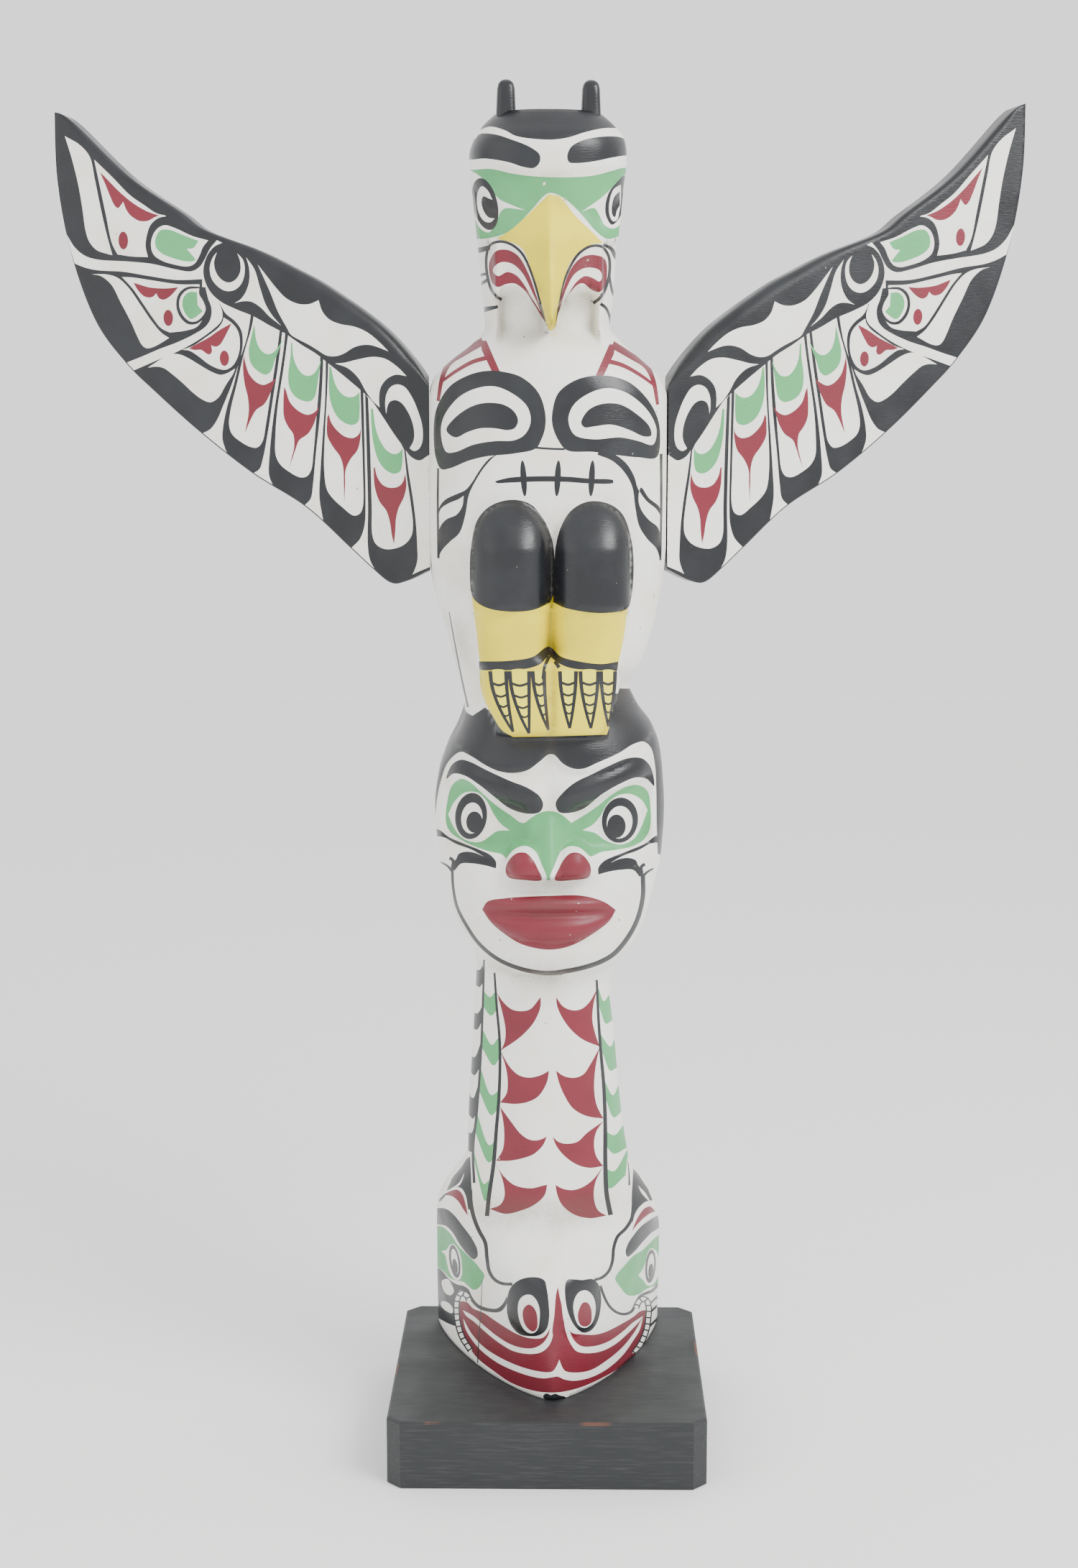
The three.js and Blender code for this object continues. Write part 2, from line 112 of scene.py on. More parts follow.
# how far the carver's centre line wanders to one side, by height
CENTRE = np.array([(0, 1.4), (110, 0.4), (230, -0.4), (310, -2.0), (440, -0.8), (560, -1.0),
                   (640, -1.8), (712, -0.6)])
# the beak, by height: how far forward its ridge stands and how steeply its sides fall away
BEAK = np.array([(591, 54, 5.0), (597, 59, 3.8), (605, 61, 2.6), (617, 61, 1.75), (628, 59, 1.25),
                 (641, 54, 0.86), (652, 47, 0.70), (662, 39, 0.60), (672, 31, 0.58)])


def smooth(low, high, value):
    """0 at low, 1 at high, and an S-shaped ease between them."""
    s = np.clip((value - low) / (high - low), 0.0, 1.0)
    return s * s * (3.0 - 2.0 * s)


def along(table, column, height):
    """A smooth curve through one column of a table of stations, without overshoot."""
    z, v = table[:, 0].astype(float), table[:, column].astype(float)
    step = np.diff(z)
    rise = np.diff(v) / step
    tangent = np.zeros(len(z))
    tangent[0], tangent[-1] = rise[0], rise[-1]
    for i in range(1, len(z) - 1):
        if rise[i - 1] * rise[i] > 0:
            w1, w2 = 2 * step[i] + step[i - 1], step[i] + 2 * step[i - 1]
            tangent[i] = (w1 + w2) / (w1 / rise[i - 1] + w2 / rise[i])
    h = np.clip(height, z[0], z[-1])
    k = np.clip(np.searchsorted(z, h, side="right") - 1, 0, len(z) - 2)
    s = (h - z[k]) / step[k]
    return ((1 + 2 * s) * (1 - s) ** 2 * v[k] + s * (1 - s) ** 2 * step[k] * tangent[k]
            + s * s * (3 - 2 * s) * v[k + 1] + s * s * (s - 1) * step[k] * tangent[k + 1])


def dome(x, z, cx, cz, rx, rz, power=2.0):
    """1 in the middle, 0 at the rim and beyond, round as a pillow."""
    q = np.abs((x - cx) / rx) ** power + np.abs((z - cz) / rz) ** power
    return np.sqrt(np.clip(1.0 - q, 0.0, 1.0))


def round_off(q):
    """A round shoulder: 1 while q is nothing, falling ever faster to 0 as q reaches 1."""
    return np.sqrt(np.clip(1.0 - q, 0.0, 1.0))


def raise_to(level, target, share):
    """The wood brought forward to the target where that stands proud, by a share of the way."""
    return level + np.clip(target - level, 0.0, None) * share


def bird_head(x, z, plain):
    """Throat hollow, cheeks, beak, brow and eyes; every level is how far forward the wood stands."""
    side = np.abs(x)
    level = plain - 13.0 * smooth(28, 25, side) * smooth(585, 597, z) * smooth(636, 628, z)
    inner = round_off((np.clip(19.0 - side, 0, 99) / 17.5) ** 1.7)
    arch = 596.0 + 20.5 * inner - 3.0 * (np.clip(side - 19.0, 0, 99) / 8.0) ** 2
    lip = 34.5 + 16.0 * np.clip(1.0 - side / 30.0, 0.0, 1.0) ** 2
    level = raise_to(level, lip, smooth(arch - 1, arch + 2, z) * smooth(646, 640, z) * smooth(31, 28, side))
    edge = 593.5 + 50.0 * (1.0 - np.exp(-side / 10.0))
    beak = along(BEAK, 1, z) - along(BEAK, 2, z) * (np.sqrt(side ** 2 + 0.5) - 0.7)
    level = raise_to(level, beak, smooth(edge - 1, edge + 1, z) * smooth(673, 668, z))
    level = level + 2.6 * smooth(675, 679, z - 3.5 * smooth(8, 40, side)) * smooth(704, 695, z)
    return level + 1.5 * dome(side, z, 34, 660, 7, 13)


def bird_legs(x, z, plain):
    """Two egg-shaped thighs, two shins, and the feet as one block with a groove between them."""
    level = plain
    for centre in (-21.9, 21.9):
        rise = np.clip((z - 478.0) / 26.5, 0.0, 1.0)
        top = round_off(rise ** 2)
        half = 21.6 * top + 0.01
        off = np.abs(x - centre)
        thigh = 44.0 + (20.0 - 8.0 * rise) * round_off((off / half) ** 2.4) * top
        level = raise_to(level, thigh, smooth(441.5, 446.5, z) * (off < half))
        half = 19.2 + 1.6 * smooth(416, 446, z)
        off = np.abs(x - centre * 0.96)
        shin = 40.0 + (18.5 + 2.5 * smooth(425, 446, z)) * round_off((off / half) ** 2.6)
        level = raise_to(level, shin, smooth(408, 416, z) * smooth(448.5, 444.5, z) * (off < half))
    spread = 37.5 - 7.5 * smooth(402, 377, z)
    foot = 46.0 + (11.5 + 5.5 * smooth(416, 382, z)) * round_off((np.abs(x) / spread) ** 5)
    level = raise_to(level, foot, smooth(375.5, 379, z) * smooth(424, 415, z) * (np.abs(x) < spread))
    return level - 3.0 * np.exp(-(x / 2.4) ** 2) * smooth(379, 384, z) * smooth(420, 410, z)


def human_face(x, z, plain):
    """Cap of hair, brow ridge, eyes, nose and lips."""
    side = np.abs(x)
    hair_edge = 357.0 + 9.5 * np.exp(-(side / 7.0) ** 2) + 0.0085 * np.clip(side - 18, 0, 99) ** 2.05
    level = plain + 4.0 * smooth(hair_edge - 1.2, hair_edge + 2.5, z) * smooth(404, 384, z)
    brow = 336.0 + 0.34 * np.clip(side - 6, 0, 99)
    level = level + 4.5 * np.exp(-((z - brow - 7.0) / 8.0) ** 2) * smooth(64, 50, side) * smooth(0, 9, side)
    hollow = smooth(brow + 1, brow - 4, z) * smooth(309, 316, z) * smooth(9, 17, side) * smooth(60, 55, side)
    level = level - 5.5 * hollow + 3.0 * dome(side, z, 41.0, 329.0, 13.0, 14.5, 2.2)
    length = np.clip((340.0 - z) / 40.0, 0.0, 1.0)
    half = 7.0 + 15.0 * length ** 1.3
    ridge = 48.0 + 16.5 * length ** 0.9
    nose = np.where(side < half, ridge - (ridge - 46.0) * (side / half) ** 1.25, 0.0)
    nostril = 46.0 + 15.5 * dome(side, z, 12.6, 303.0, 11.4, 15.5, 2.3)
    nose = np.maximum(nose, np.where(nostril > 46.0, nostril, 0.0))
    level = raise_to(level, nose, smooth(297.5, 300.5, z) * smooth(343, 334, z))
    level = level - 2.5 * np.exp(-((z - 296.0) / 6.0) ** 2) * smooth(36, 20, side)
    swell = np.clip(1.0 - (side / 37.0) ** 2.2, 0, 1)
    upper = 282.0 + 8.0 * np.sqrt(swell)
    lower = 280.0 - 18.5 * swell ** 0.6
    parting = 279.0
    rise = np.where(z > parting, (upper - z) / np.maximum(upper - parting, 0.1),
                    (z - lower) / np.maximum(parting - lower, 0.1))
    lips = np.sin(np.pi * np.clip(rise, 0, 1)) ** 0.6 * np.sqrt(swell)
    return level + 7.0 * lips


def beast_snout(x, z, plain):
    """Two nostrils, domes either side of the snout's ridge."""
    return plain + 2.6 * dome(np.abs(x), z, 14.5, 55, 12.5, 19, 2.8)


def pole_surface(angle, z):
    """Points of the carved surface; angle 0 faces the front, a quarter turn faces +X."""
    left, right, wide, front, back, sq_front, sq_back = [along(SECTIONS, c, z) for c in range(1, 8)]
    s, c = np.sin(angle), np.cos(angle)
    square = np.where(c > 0, sq_front, sq_back)
    reach = (np.abs(s) ** square + np.abs(c) ** square) ** (-1.0 / square)
    x = np.where(s > 0, right, left) * s * reach
    y = wide - np.where(c > 0, wide - front, back - wide) * c * reach
    seat = (smooth(SEAT["low"] - SEAT["blend"], SEAT["low"] + SEAT["blend"], z)
            * smooth(SEAT["high"] + SEAT["blend"], SEAT["high"] - SEAT["blend"], z))
    x = x + seat * (np.clip(x, -SEAT["half"], SEAT["half"]) - x)
    plain = -y
    off = x - along(CENTRE, 1, z)
    level = np.where(z > 584, bird_head(off, z, plain), plain)
    level = np.where((z > 238) & (z <= 405), human_face(off, z, level), level)
    level = np.where((z > 374) & (z <= 505), bird_legs(off, z, level), level)
    level = np.where(z <= 80, beast_snout(off, z, level), level)
    return x, -(plain + (level - plain) * smooth(0.0, 0.3, c)), z + 0 * x


def front_angle(x, z):
    """The angle whose surface point lies at this x on the front, and how far x runs past the side."""
    half = np.where(x > 0, along(SECTIONS, 2, z), along(SECTIONS, 1, z))
    square = along(SECTIONS, 6, z)
    share = np.clip(np.abs(x) / half, 0.0, 1.0)
    past = np.clip(np.abs(x) - half, 0.0, None)
    angle = np.arctan2(share, (1.0 - share ** square) ** (1.0 / square))
    return np.sign(x) * angle, past


# ---------------------------------------------------------------- outlines of painted shapes
def spline(points, closed=True, step=1.6):
    """A smooth line through points; a point with a third value is a corner."""
    pts = [tuple(p) for p in points]
    corners = [i for i, p in enumerate(pts) if len(p) > 2]
    xy = [np.array(p[:2], float) for p in pts]
    if closed:
        first = corners[0] if corners else 0
        xy = xy[first:] + xy[:first] + [xy[first]]
        corners = [(i - first) % len(pts) for i in corners] or None
        stops = sorted(set(corners)) + [len(pts)] if corners else [0, len(pts)]
        loop = corners is None
    else:
        stops = sorted(set([0] + corners + [len(pts) - 1]))
        loop = False
    out = []
    for a, b in zip(stops[:-1], stops[1:]):
        run = xy[a:b + 1]
        if loop:
            run = [xy[-2]] + run + [xy[1]]
        else:
            run = [2 * run[0] - run[1]] + run + [2 * run[-1] - run[-2]]
        for p0, p1, p2, p3 in zip(run, run[1:], run[2:], run[3:]):
            t = np.cumsum([0] + [max(np.linalg.norm(q - p), 1e-6) ** 0.5
                                 for p, q in ((p0, p1), (p1, p2), (p2, p3))])
            m1 = (p2 - p1) / (t[2] - t[1]) + (p1 - p0) / (t[1] - t[0]) - (p2 - p0) / (t[2] - t[0])
            m2 = (p3 - p2) / (t[3] - t[2]) + (p2 - p1) / (t[2] - t[1]) - (p3 - p1) / (t[3] - t[1])
            m1, m2 = m1 * (t[2] - t[1]), m2 * (t[2] - t[1])
            count = max(1, math.ceil(np.linalg.norm(p2 - p1) / step))
            for i in range(count):
                s = i / count
                out.append((2 * s ** 3 - 3 * s * s + 1) * p1 + (s ** 3 - 2 * s * s + s) * m1
                           + (3 * s * s - 2 * s ** 3) * p2 + (s ** 3 - s * s) * m2)
    if not closed:
        out.append(xy[-1])
    return np.array(out)


def oval(cx, cz, rx, rz, turn=0.0, step=1.6):
    """An upright ellipse, turned clockwise by turn degrees."""
    count = max(12, math.ceil(2 * math.pi * max(rx, rz) / step))
    a = np.arange(count) * 2 * math.pi / count
    x, z = rx * np.cos(a), rz * np.sin(a)
    t = math.radians(turn)
    return np.stack([cx + x * math.cos(t) + z * math.sin(t), cz - x * math.sin(t) + z * math.cos(t)], 1)


def ribbon(points, width, closed=False):
    """A painted line along points; width is one number, or one for each end."""
    line = spline(points, closed)
    ends = width if isinstance(width, (tuple, list)) else (width, width)
    way = np.gradient(line, axis=0)
    way /= np.maximum(np.linalg.norm(way, axis=1), 1e-9)[:, None]
    across = np.stack([-way[:, 1], way[:, 0]], 1)
    half = np.linspace(ends[0], ends[1], len(line))[:, None] / 2
    return np.concatenate([line + across * half, (line - across * half)[::-1]])


# ---------------------------------------------------------------- laying the outlines on the wood
def to_pole(points):
    """Outlines are drawn on an upright sheet through the pole's middle, as the viewer's eye sees
    them. Each point is carried along the line of sight to the carving: angle round it and height."""
    points = np.asarray(points, float)
    ex, ey, ez = EYE
    depth = np.arange(*SIGHT)[None, :]
    scale = (depth - ey) / -ey
    wx = ex + (points[:, :1] - ex) * scale
    wz = np.clip(ez + (points[:, 1:2] - ez) * scale, 0.0, TOP)
    px = wx * math.cos(TURN) + depth * math.sin(TURN)
    py = depth * math.cos(TURN) - wx * math.sin(TURN)
    angle, past = front_angle(px, wz)
    sy = pole_surface(angle, wz)[1]
    wide = along(SECTIONS, 3, wz)
    hit = ((py >= sy) & (past <= 0)) | (py >= wide)
    i = np.argmax(hit, axis=1)
    rows = np.arange(len(points))
    j = np.maximum(i - 1, 0)
    gap_before, gap_after = (py - sy)[rows, j], (py - sy)[rows, i]
    share = np.clip(-gap_before / np.maximum(gap_after - gap_before, 1e-6), 0.0, 1.0)
    share = np.where(past[rows, i] > 0, 1.0, share)
    x = px[rows, j] + (px[rows, i] - px[rows, j]) * share
    z = wz[rows, j] + (wz[rows, i] - wz[rows, j]) * share
    angle, past = front_angle(x, z)
    return np.stack([angle + np.sign(x) * past / ROUND, z], 1)


coats = []        # what is painted on the pole, in the order the painter laid it on


def coat(colour, outline):
    """One coat of paint on the pole, its outline given on the sheet."""
    coats.append((colour, to_pole(outline)))


def around(points):
    """Places given as degrees round the pole and height."""
    return np.array([(math.radians(a), z) for a, z in points])


def wrapped(colour, line, back):
    """A coat whose front edge is a line on the sheet, and which goes on round the pole."""
    coats.append((colour, np.concatenate([to_pole(line), around(back)])))


def paint_head():
    wrapped("black", spline([(-41, 703), (-37, 704.5), (-32, 706), (-24, 704), (-18, 701), (0, 699),
        (10, 700), (20, 703), (30, 705), (36.5, 705), (41, 704)], False), [(120, 701), (180, 701), (180,
        TOP), (-180, TOP), (-180, 701), (-120, 701)])
    coat("black", spline([(-43, 688.5), (-52, 690), (-55, 695), (-50, 699.5), (-41, 699), (-38, 702),
        (-30, 702), (-20, 699), (-10, 695), (-5, 691), (-5, 687), (-8, 684), (-14, 684.5), (-22, 687),
        (-35, 689)]))
    coat("black", spline([(10, 690), (12, 695), (18, 698.5), (28, 700.5), (38, 700.5), (43, 699),
        (50, 699), (54, 695), (51, 691), (42, 690.5), (35, 689.5), (25, 687.5), (15, 686.5), (11, 687)]))
    coat("green", spline([(-54, 683, 1), (-42.5, 683), (-32, 683.5), (-20, 681), (-8, 679.5), (12, 679),
        (25, 680), (35, 682.5), (41, 684), (54, 684, 1), (56, 665), (52, 648, 1), (38, 647), (32, 646),
        (26, 650), (18, 659), (8, 668), (0, 670.5), (-10, 661), (-20, 651), (-30, 647), (-39.5, 646),
        (-52, 647, 1), (-56, 665)]))
    coat("white", spline([(-46, 684, 1), (-39, 680.5), (-33, 675), (-28, 668), (-20, 664), (-13, 661.5, 1),
        (-25, 662), (-29, 655), (-33, 649.5), (-38, 652), (-41.5, 660), (-44, 670)]))
    coat("white", spline([(47, 686, 1), (39, 678), (30, 669), (18, 660.5, 1), (25, 662.5), (28, 658),
        (31, 653), (35, 651.5), (38.5, 653), (45, 664)]))
    coat("black", oval(-35, 664.7, 6.8, 14.2, -13))
    coat("white", spline([(-31, 667, 1), (-33.5, 672), (-36.8, 674.3), (-39, 671), (-39.4, 665),
        (-38, 659), (-35, 655.3), (-32, 655), (-29.8, 657, 1), (-33, 657.5), (-35.8, 661), (-37, 666),
        (-36, 669), (-33.5, 668)]))
    coat("black", spline([(41.5, 680), (37, 676), (33, 671), (31, 664), (31.5, 658), (34.5, 653.5),
        (38, 656), (41, 663), (43, 672)]))
    coat("white", spline([(39.3, 675, 1), (35.5, 672.5), (33.3, 666), (33.2, 659.5), (35.2, 655.4),
        (37.4, 656), (38.6, 660), (39.6, 668)]))
    coat("black", spline([(39, 671.5, 1), (36.2, 669), (34.5, 663), (35, 658.5), (36.4, 657.6),
        (37.3, 661), (39, 664, 1)]))
    # cheeks
    coat("white", spline([(-29, 646), (-24, 645.5), (-18, 643), (-12, 636), (-7, 624), (-3, 609),
        (0, 599, 1), (-8, 605), (-18, 617), (-27, 617), (-34, 622), (-36, 632), (-34, 642)]))
    coat("red", spline([(-32.6, 627), (-32.6, 634), (-29, 639.5), (-23, 640.2), (-17, 637), (-11.5, 628),
        (-7, 616), (-4, 607), (-1.6, 600.5, 1), (-5, 605.5), (-9, 612), (-14, 618.8), (-19, 622),
        (-24, 621.5), (-28, 620), (-31, 622)]))
    coat("white", spline([(-30.8, 628.5), (-30, 631), (-26, 633.5), (-20, 632.5), (-14.5, 627.5),
        (-9.5, 618), (-4.5, 606.5, 1), (-10, 615.5), (-14, 622), (-18, 626.5), (-23, 628.2), (-28, 626)]))
    coat("black", ribbon([(0.4, 598.5), (-3, 605), (-6.2, 617), (-10.5, 630), (-15, 638.5), (-21, 643.2),
        (-27, 644.6), (-32.5, 642.5), (-34.4, 636), (-34, 627), (-32, 619.5), (-29, 615), (-26, 613.2)],
        (1.2, 1.7)))
    coat("white", spline([(30, 643.5), (22, 643), (15, 638.5), (9.5, 629), (6.5, 617), (3, 598, 1),
        (9, 604), (18, 616), (26, 615), (32, 620), (34.5, 632), (33, 640)]))
    coat("red", spline([(32, 631), (30.5, 635.5), (24, 637.4), (18, 636), (12.3, 630), (8.7, 621.5),
        (5.8, 611), (4, 603, 1), (7.5, 610.5), (11.5, 616.5), (16, 621.3), (19, 622), (23.5, 618.5),
        (28, 617.3), (31, 620.5)]))
    coat("white", spline([(29.3, 625.5), (28, 629), (21, 630.5), (14.5, 627.3), (9.7, 619), (6, 608, 1),
        (10.5, 615.5), (15, 622.5), (20, 626), (24.5, 624.8), (28, 623)]))
    coat("black", ribbon([(3.2, 598.5), (5, 608), (7.4, 620), (11.5, 630.5), (16.5, 638), (23, 642),
        (29, 641.8), (32.8, 637), (33.6, 630), (32.2, 622), (29, 615), (24.6, 611.2)], (1.2, 1.8)))
    coat("yellow", spline([(0, 670, 1), (-10, 660.5), (-20, 651.5), (-29, 646, 1), (-22, 644.5),
        (-15, 641), (-11, 633), (-7, 622), (-4, 611), (-2, 603), (-0.5, 597.5), (1.3, 596.5), (3.2, 598),
        (4.5, 606), (6.3, 616), (8.8, 626), (13, 635), (19, 641), (25, 643.3), (30, 643.5, 1), (24, 649.5),
        (14, 659), (6, 668.5)]))
    # dashes at the sides of the cheeks
    for points, width in [([(-46, 639), (-38, 640), (-32.5, 641.5)], (3.4, 2.6)), ([(-44, 626),
            (-37, 626.7), (-33.5, 627.5)], (2, 1.4)), ([(-44, 620), (-37, 622), (-33, 624.6)], (2.4, 1.6)),
            ([(-42, 606), (-35, 608), (-28, 609.4)], (4, 1.6)), ([(30, 643), (34.5, 640.5), (37, 636),
            (42, 632)], (1.6, 3)), ([(33.4, 627), (34.2, 621), (36, 615.5), (41, 611)], (1.2, 2)),
            ([(28.5, 611), (31.5, 608.7), (33.6, 604), (34.5, 598)], (1.8, 1.2))]:
        coat("black", ribbon(points, width))


TOE_TOP = 407.5                        # height at which the toes begin
TOE_STEPS = (0.0, 0.25, 0.5, 0.72, 0.88)


def toe_edge(top, tip, share):
    """A point down one side of a toe, which draws in to its claw ever faster."""
    return top + (tip[0] - top) * share ** 1.8, TOE_TOP + (tip[1] - TOE_TOP) * share


def paint_torso():
    # chevrons on the shoulders
    for side, shift in ((-1, 0), (1, -2.0)):
        peak = np.array([(-38, 591, 1), (-34.5, 591, 1), (-27, 574, 1), (-31.5, 574, 1), (-37, 585.5, 1)])
        chevron = [(side * -p[0] + shift * 0.5, p[1] + min(shift, 0), 1) for p in peak]
        coat("red", spline(chevron))
        arm = [(-36, 591), (-46, 585), (-55, 579), (-59, 571), (-61.5, 558)]
        coat("red", ribbon([(side * -x + shift * 0.5, z + shift) for x, z in arm], (4.2, 1.8)))
        arm = [(-33, 582), (-42, 579.5), (-52, 574), (-59, 569)]
        coat("red", ribbon([(side * -x + shift * 0.5, z + shift) for x, z in arm], (2.6, 1.6)))
    # the two breast ovoids
    coat("black", spline([(-64, 545), (-62, 555), (-55, 566), (-45, 572), (-35, 574.5), (-25, 574),
        (-15, 571), (-6, 563), (-2, 552), (-2, 543), (-4, 537), (-7, 532), (-20, 529), (-35, 527.5),
        (-45, 525), (-55, 521), (-60, 520.5), (-63, 527)]))
    coat("white", spline([(-60, 541), (-58, 550), (-50, 560), (-40, 565), (-30, 566), (-20, 562),
        (-12, 555), (-10, 547), (-13, 540), (-19, 536.5), (-30, 536), (-42, 534), (-52, 530),
        (-57, 530)]))
    coat("black", spline([(-57, 542), (-52, 549), (-43, 555), (-35, 557), (-25, 556), (-19, 552),
        (-17, 547), (-19, 543), (-23, 542), (-30, 543), (-38, 543), (-45, 541), (-52, 538)]))
    coat("black", spline([(2, 552), (5, 562), (12, 568), (22, 571.5), (35, 571.5), (45, 568), (54, 560),
        (60, 550), (62, 540), (60, 527), (50, 527), (40, 528), (25, 530), (10, 531), (5, 537), (2, 545)]))
    coat("white", spline([(11, 549), (14, 556), (22, 562), (32, 565), (42, 563), (52, 556), (58, 548),
        (60, 541), (58, 534), (50, 536), (40, 538), (25, 537), (15, 539), (12, 543)]))
    coat("black", spline([(18, 546), (22, 553), (30, 556.5), (40, 556), (50, 550), (56, 544), (57, 539),
        (53, 538.5), (45, 542), (35, 545), (25, 544), (20, 543.5)]))
    # belly: branches, leaves and the stitched bar
    coat("black", ribbon([(-9, 532.5), (0, 531.8), (9, 531.5)], 1.2))
    coat("black", spline([(-27, 529.5, 1), (-33, 526.5), (-38.5, 520), (-43, 513), (-46.5, 509),
        (-52, 506.5), (-58, 503.5), (-61.3, 499), (-62, 493, 1), (-60.3, 498.5), (-56, 501.5), (-50, 504),
        (-47.5, 505.8, 1), (-48.3, 500), (-51.5, 495.3), (-57.5, 492.5), (-61, 488), (-62, 481, 1),
        (-62, 470, 1), (-60.3, 474.6), (-55.5, 480), (-50, 485), (-46.6, 495), (-44.6, 506),
        (-40.5, 514.5), (-35.5, 522), (-29, 528.3), (-22, 530, 1)]))
    coat("black", spline([(28, 530.5, 1), (36, 529), (43, 524), (47.5, 517), (50, 509.5), (54.5, 503),
        (60, 498.5), (63, 494, 1), (62, 499.5), (56, 504.5), (51.5, 510.5), (50.2, 503.5), (51.8, 498),
        (56, 492.5), (61, 488.4), (63, 482, 1), (62.6, 469, 1), (60.5, 476), (55, 482), (50.6, 489),
        (48.4, 499), (46.5, 511), (42, 519), (35.5, 525), (27, 528.5, 1)]))
    for line, ends in (([(-61.7, 521), (-62, 500), (-61.8, 471)], (1.2, 1.4)), ([(62.6, 529), (62.9, 500),
            (62.6, 470)], (1.6, 1.2)), ([(-56, 441), (-53, 424), (-49.4, 405), (-45.6, 387)],
            (0.5, 1.1))):
        coat("black", ribbon(line, ends))
    coat("black", spline([(-30, 513.5), (-22, 515.8), (-6, 516.6), (10, 516.4), (24, 515.2), (36, 514.4),
        (36.2, 513), (24, 512.5), (10, 513.4), (-6, 513.6), (-22, 513), (-29, 512.8)]))
    for x in (-14, 5, 24):
        coat("black", oval(x, 515.4, 1.75, 10.0, -4 if x < 0 else 3))
    # legs: black thighs, yellow shins and feet with a black band between
    coat("yellow", spline([(-43.5, 452, 1), (-42, 440), (-40.3, 426), (-38.7, 410, 1), (2, 416, 1),
        (39, 410, 1), (42.6, 428), (45, 446, 1), (2, 452, 1)]))
    coat("black", spline([(-43, 450), (-44.3, 465), (-43, 481), (-39.5, 493), (-32, 500.5), (-20, 503.6),
        (-10, 501), (-3, 493), (1.5, 483), (3.4, 470), (3.2, 452), (0.5, 446, 1), (-8, 442.2), (-20, 441),
        (-33, 442.6), (-40, 446)]))
    coat("black", spline([(2.6, 446.4, 1), (3.2, 462), (4, 478), (7.5, 490), (13, 498), (22, 502.6),
        (33, 501.6), (41, 496), (46, 483), (47.7, 468), (46.6, 450), (44.4, 443), (33, 440.4), (20, 441),
        (8, 443.6)]))
    coat("yellow", spline([(-39, 410, 1), (-38.6, 400), (-36, 390), (-31, 381), (-26.5, 374),
        (-20, 370, 1), (0, 370.4), (33, 371.5, 1), (35, 378), (37.5, 392), (38.6, 410, 1), (0, 418, 1)]))
    coat("black", spline([(-39.4, 413, 1), (-22, 413.4), (-9, 415.6), (0, 421.4), (7, 415.8), (18, 412.9),
        (30, 411.6), (39.4, 413, 1), (38.8, 407.6, 1), (25, 408), (12, 409.4), (5, 412.4), (0, 416.6, 1),
        (-4, 412), (-10, 409.4), (-22, 408), (-39, 408, 1)]))
    # toes: three on each foot, each outlined and crossed by curved rungs down to its claw
    for outer, inner, tip in ((-33, -24, (-20, 373)), (-22, -11, (-11, 372)), (-9, -2.5, (0, 374)),
            (6.4, 15.5, (12, 375)), (18, 28, (24, 375)), (29.6, 37.6, (34, 376))):
        sides = [[toe_edge(top, tip, share) for share in TOE_STEPS] for top in (outer, inner)]
        coat("bright", spline(sides[0] + [tip] + sides[1][::-1]))
        for side in sides:
            coat("black", ribbon(side + [tip], (2.3, 1.5)))
        for share, wide in ((0.19, 1.5), (0.38, 1.3), (0.55, 1.2), (0.70, 1.1)):
            a, b = toe_edge(outer, tip, share), toe_edge(inner, tip, share)
            coat("black", ribbon([a, ((a[0] + b[0]) / 2, a[1] - 1.5), b], wide))
    coat("black", ribbon([(0.4, 416), (-2.2, 410), (-3.4, 403)], (2.2, 1.4)))
    coat("black", ribbon([(3.6, 413), (6, 409.5)], 2.2))


# the face's eyes: middle, black ring, white ring within, its shift inwards, and the pupil
EYES = ((-44.1, 324.6, 9.1, 13.4, 6.0, 9.0, 0.4, 4.7, 6.2),
        (40.7, 322.4, 10.3, 13.1, 7.3, 9.4, -0.2, 5.3, 6.8))


def cheek_leaf(side, shift, drop):
    """The forked leaf on one cheek, with the small curls where the jaw line begins."""
    leaf = [(-66, 317, 1), (-62.5, 316.8), (-57, 312.6), (-48, 308.6), (-39, 305), (-33, 302), (-29.9, 298),
        (-30, 294.3, 1), (-36, 296), (-44, 297.2), (-50, 297), (-53.6, 293, 1), (-55.8, 296), (-52.6, 300),
        (-51.5, 302.6), (-47.5, 304), (-42, 303.4), (-37, 301.2, 1), (-44, 305.2), (-53, 308.6),
        (-60, 312.4), (-66, 313, 1)]
    coat("black", spline([(side * -x + shift, z - drop, *corner) for x, z, *corner in leaf]))
    for curl, width in (([(-56.6, 300.4), (-54.6, 299), (-55, 293)], 1.9),
            ([(-61.5, 298), (-57.6, 295.6), (-54.8, 292.5)], (0.9, 1.8))):
        coat("black", ribbon([(side * -x + shift, z - drop) for x, z in curl], width))


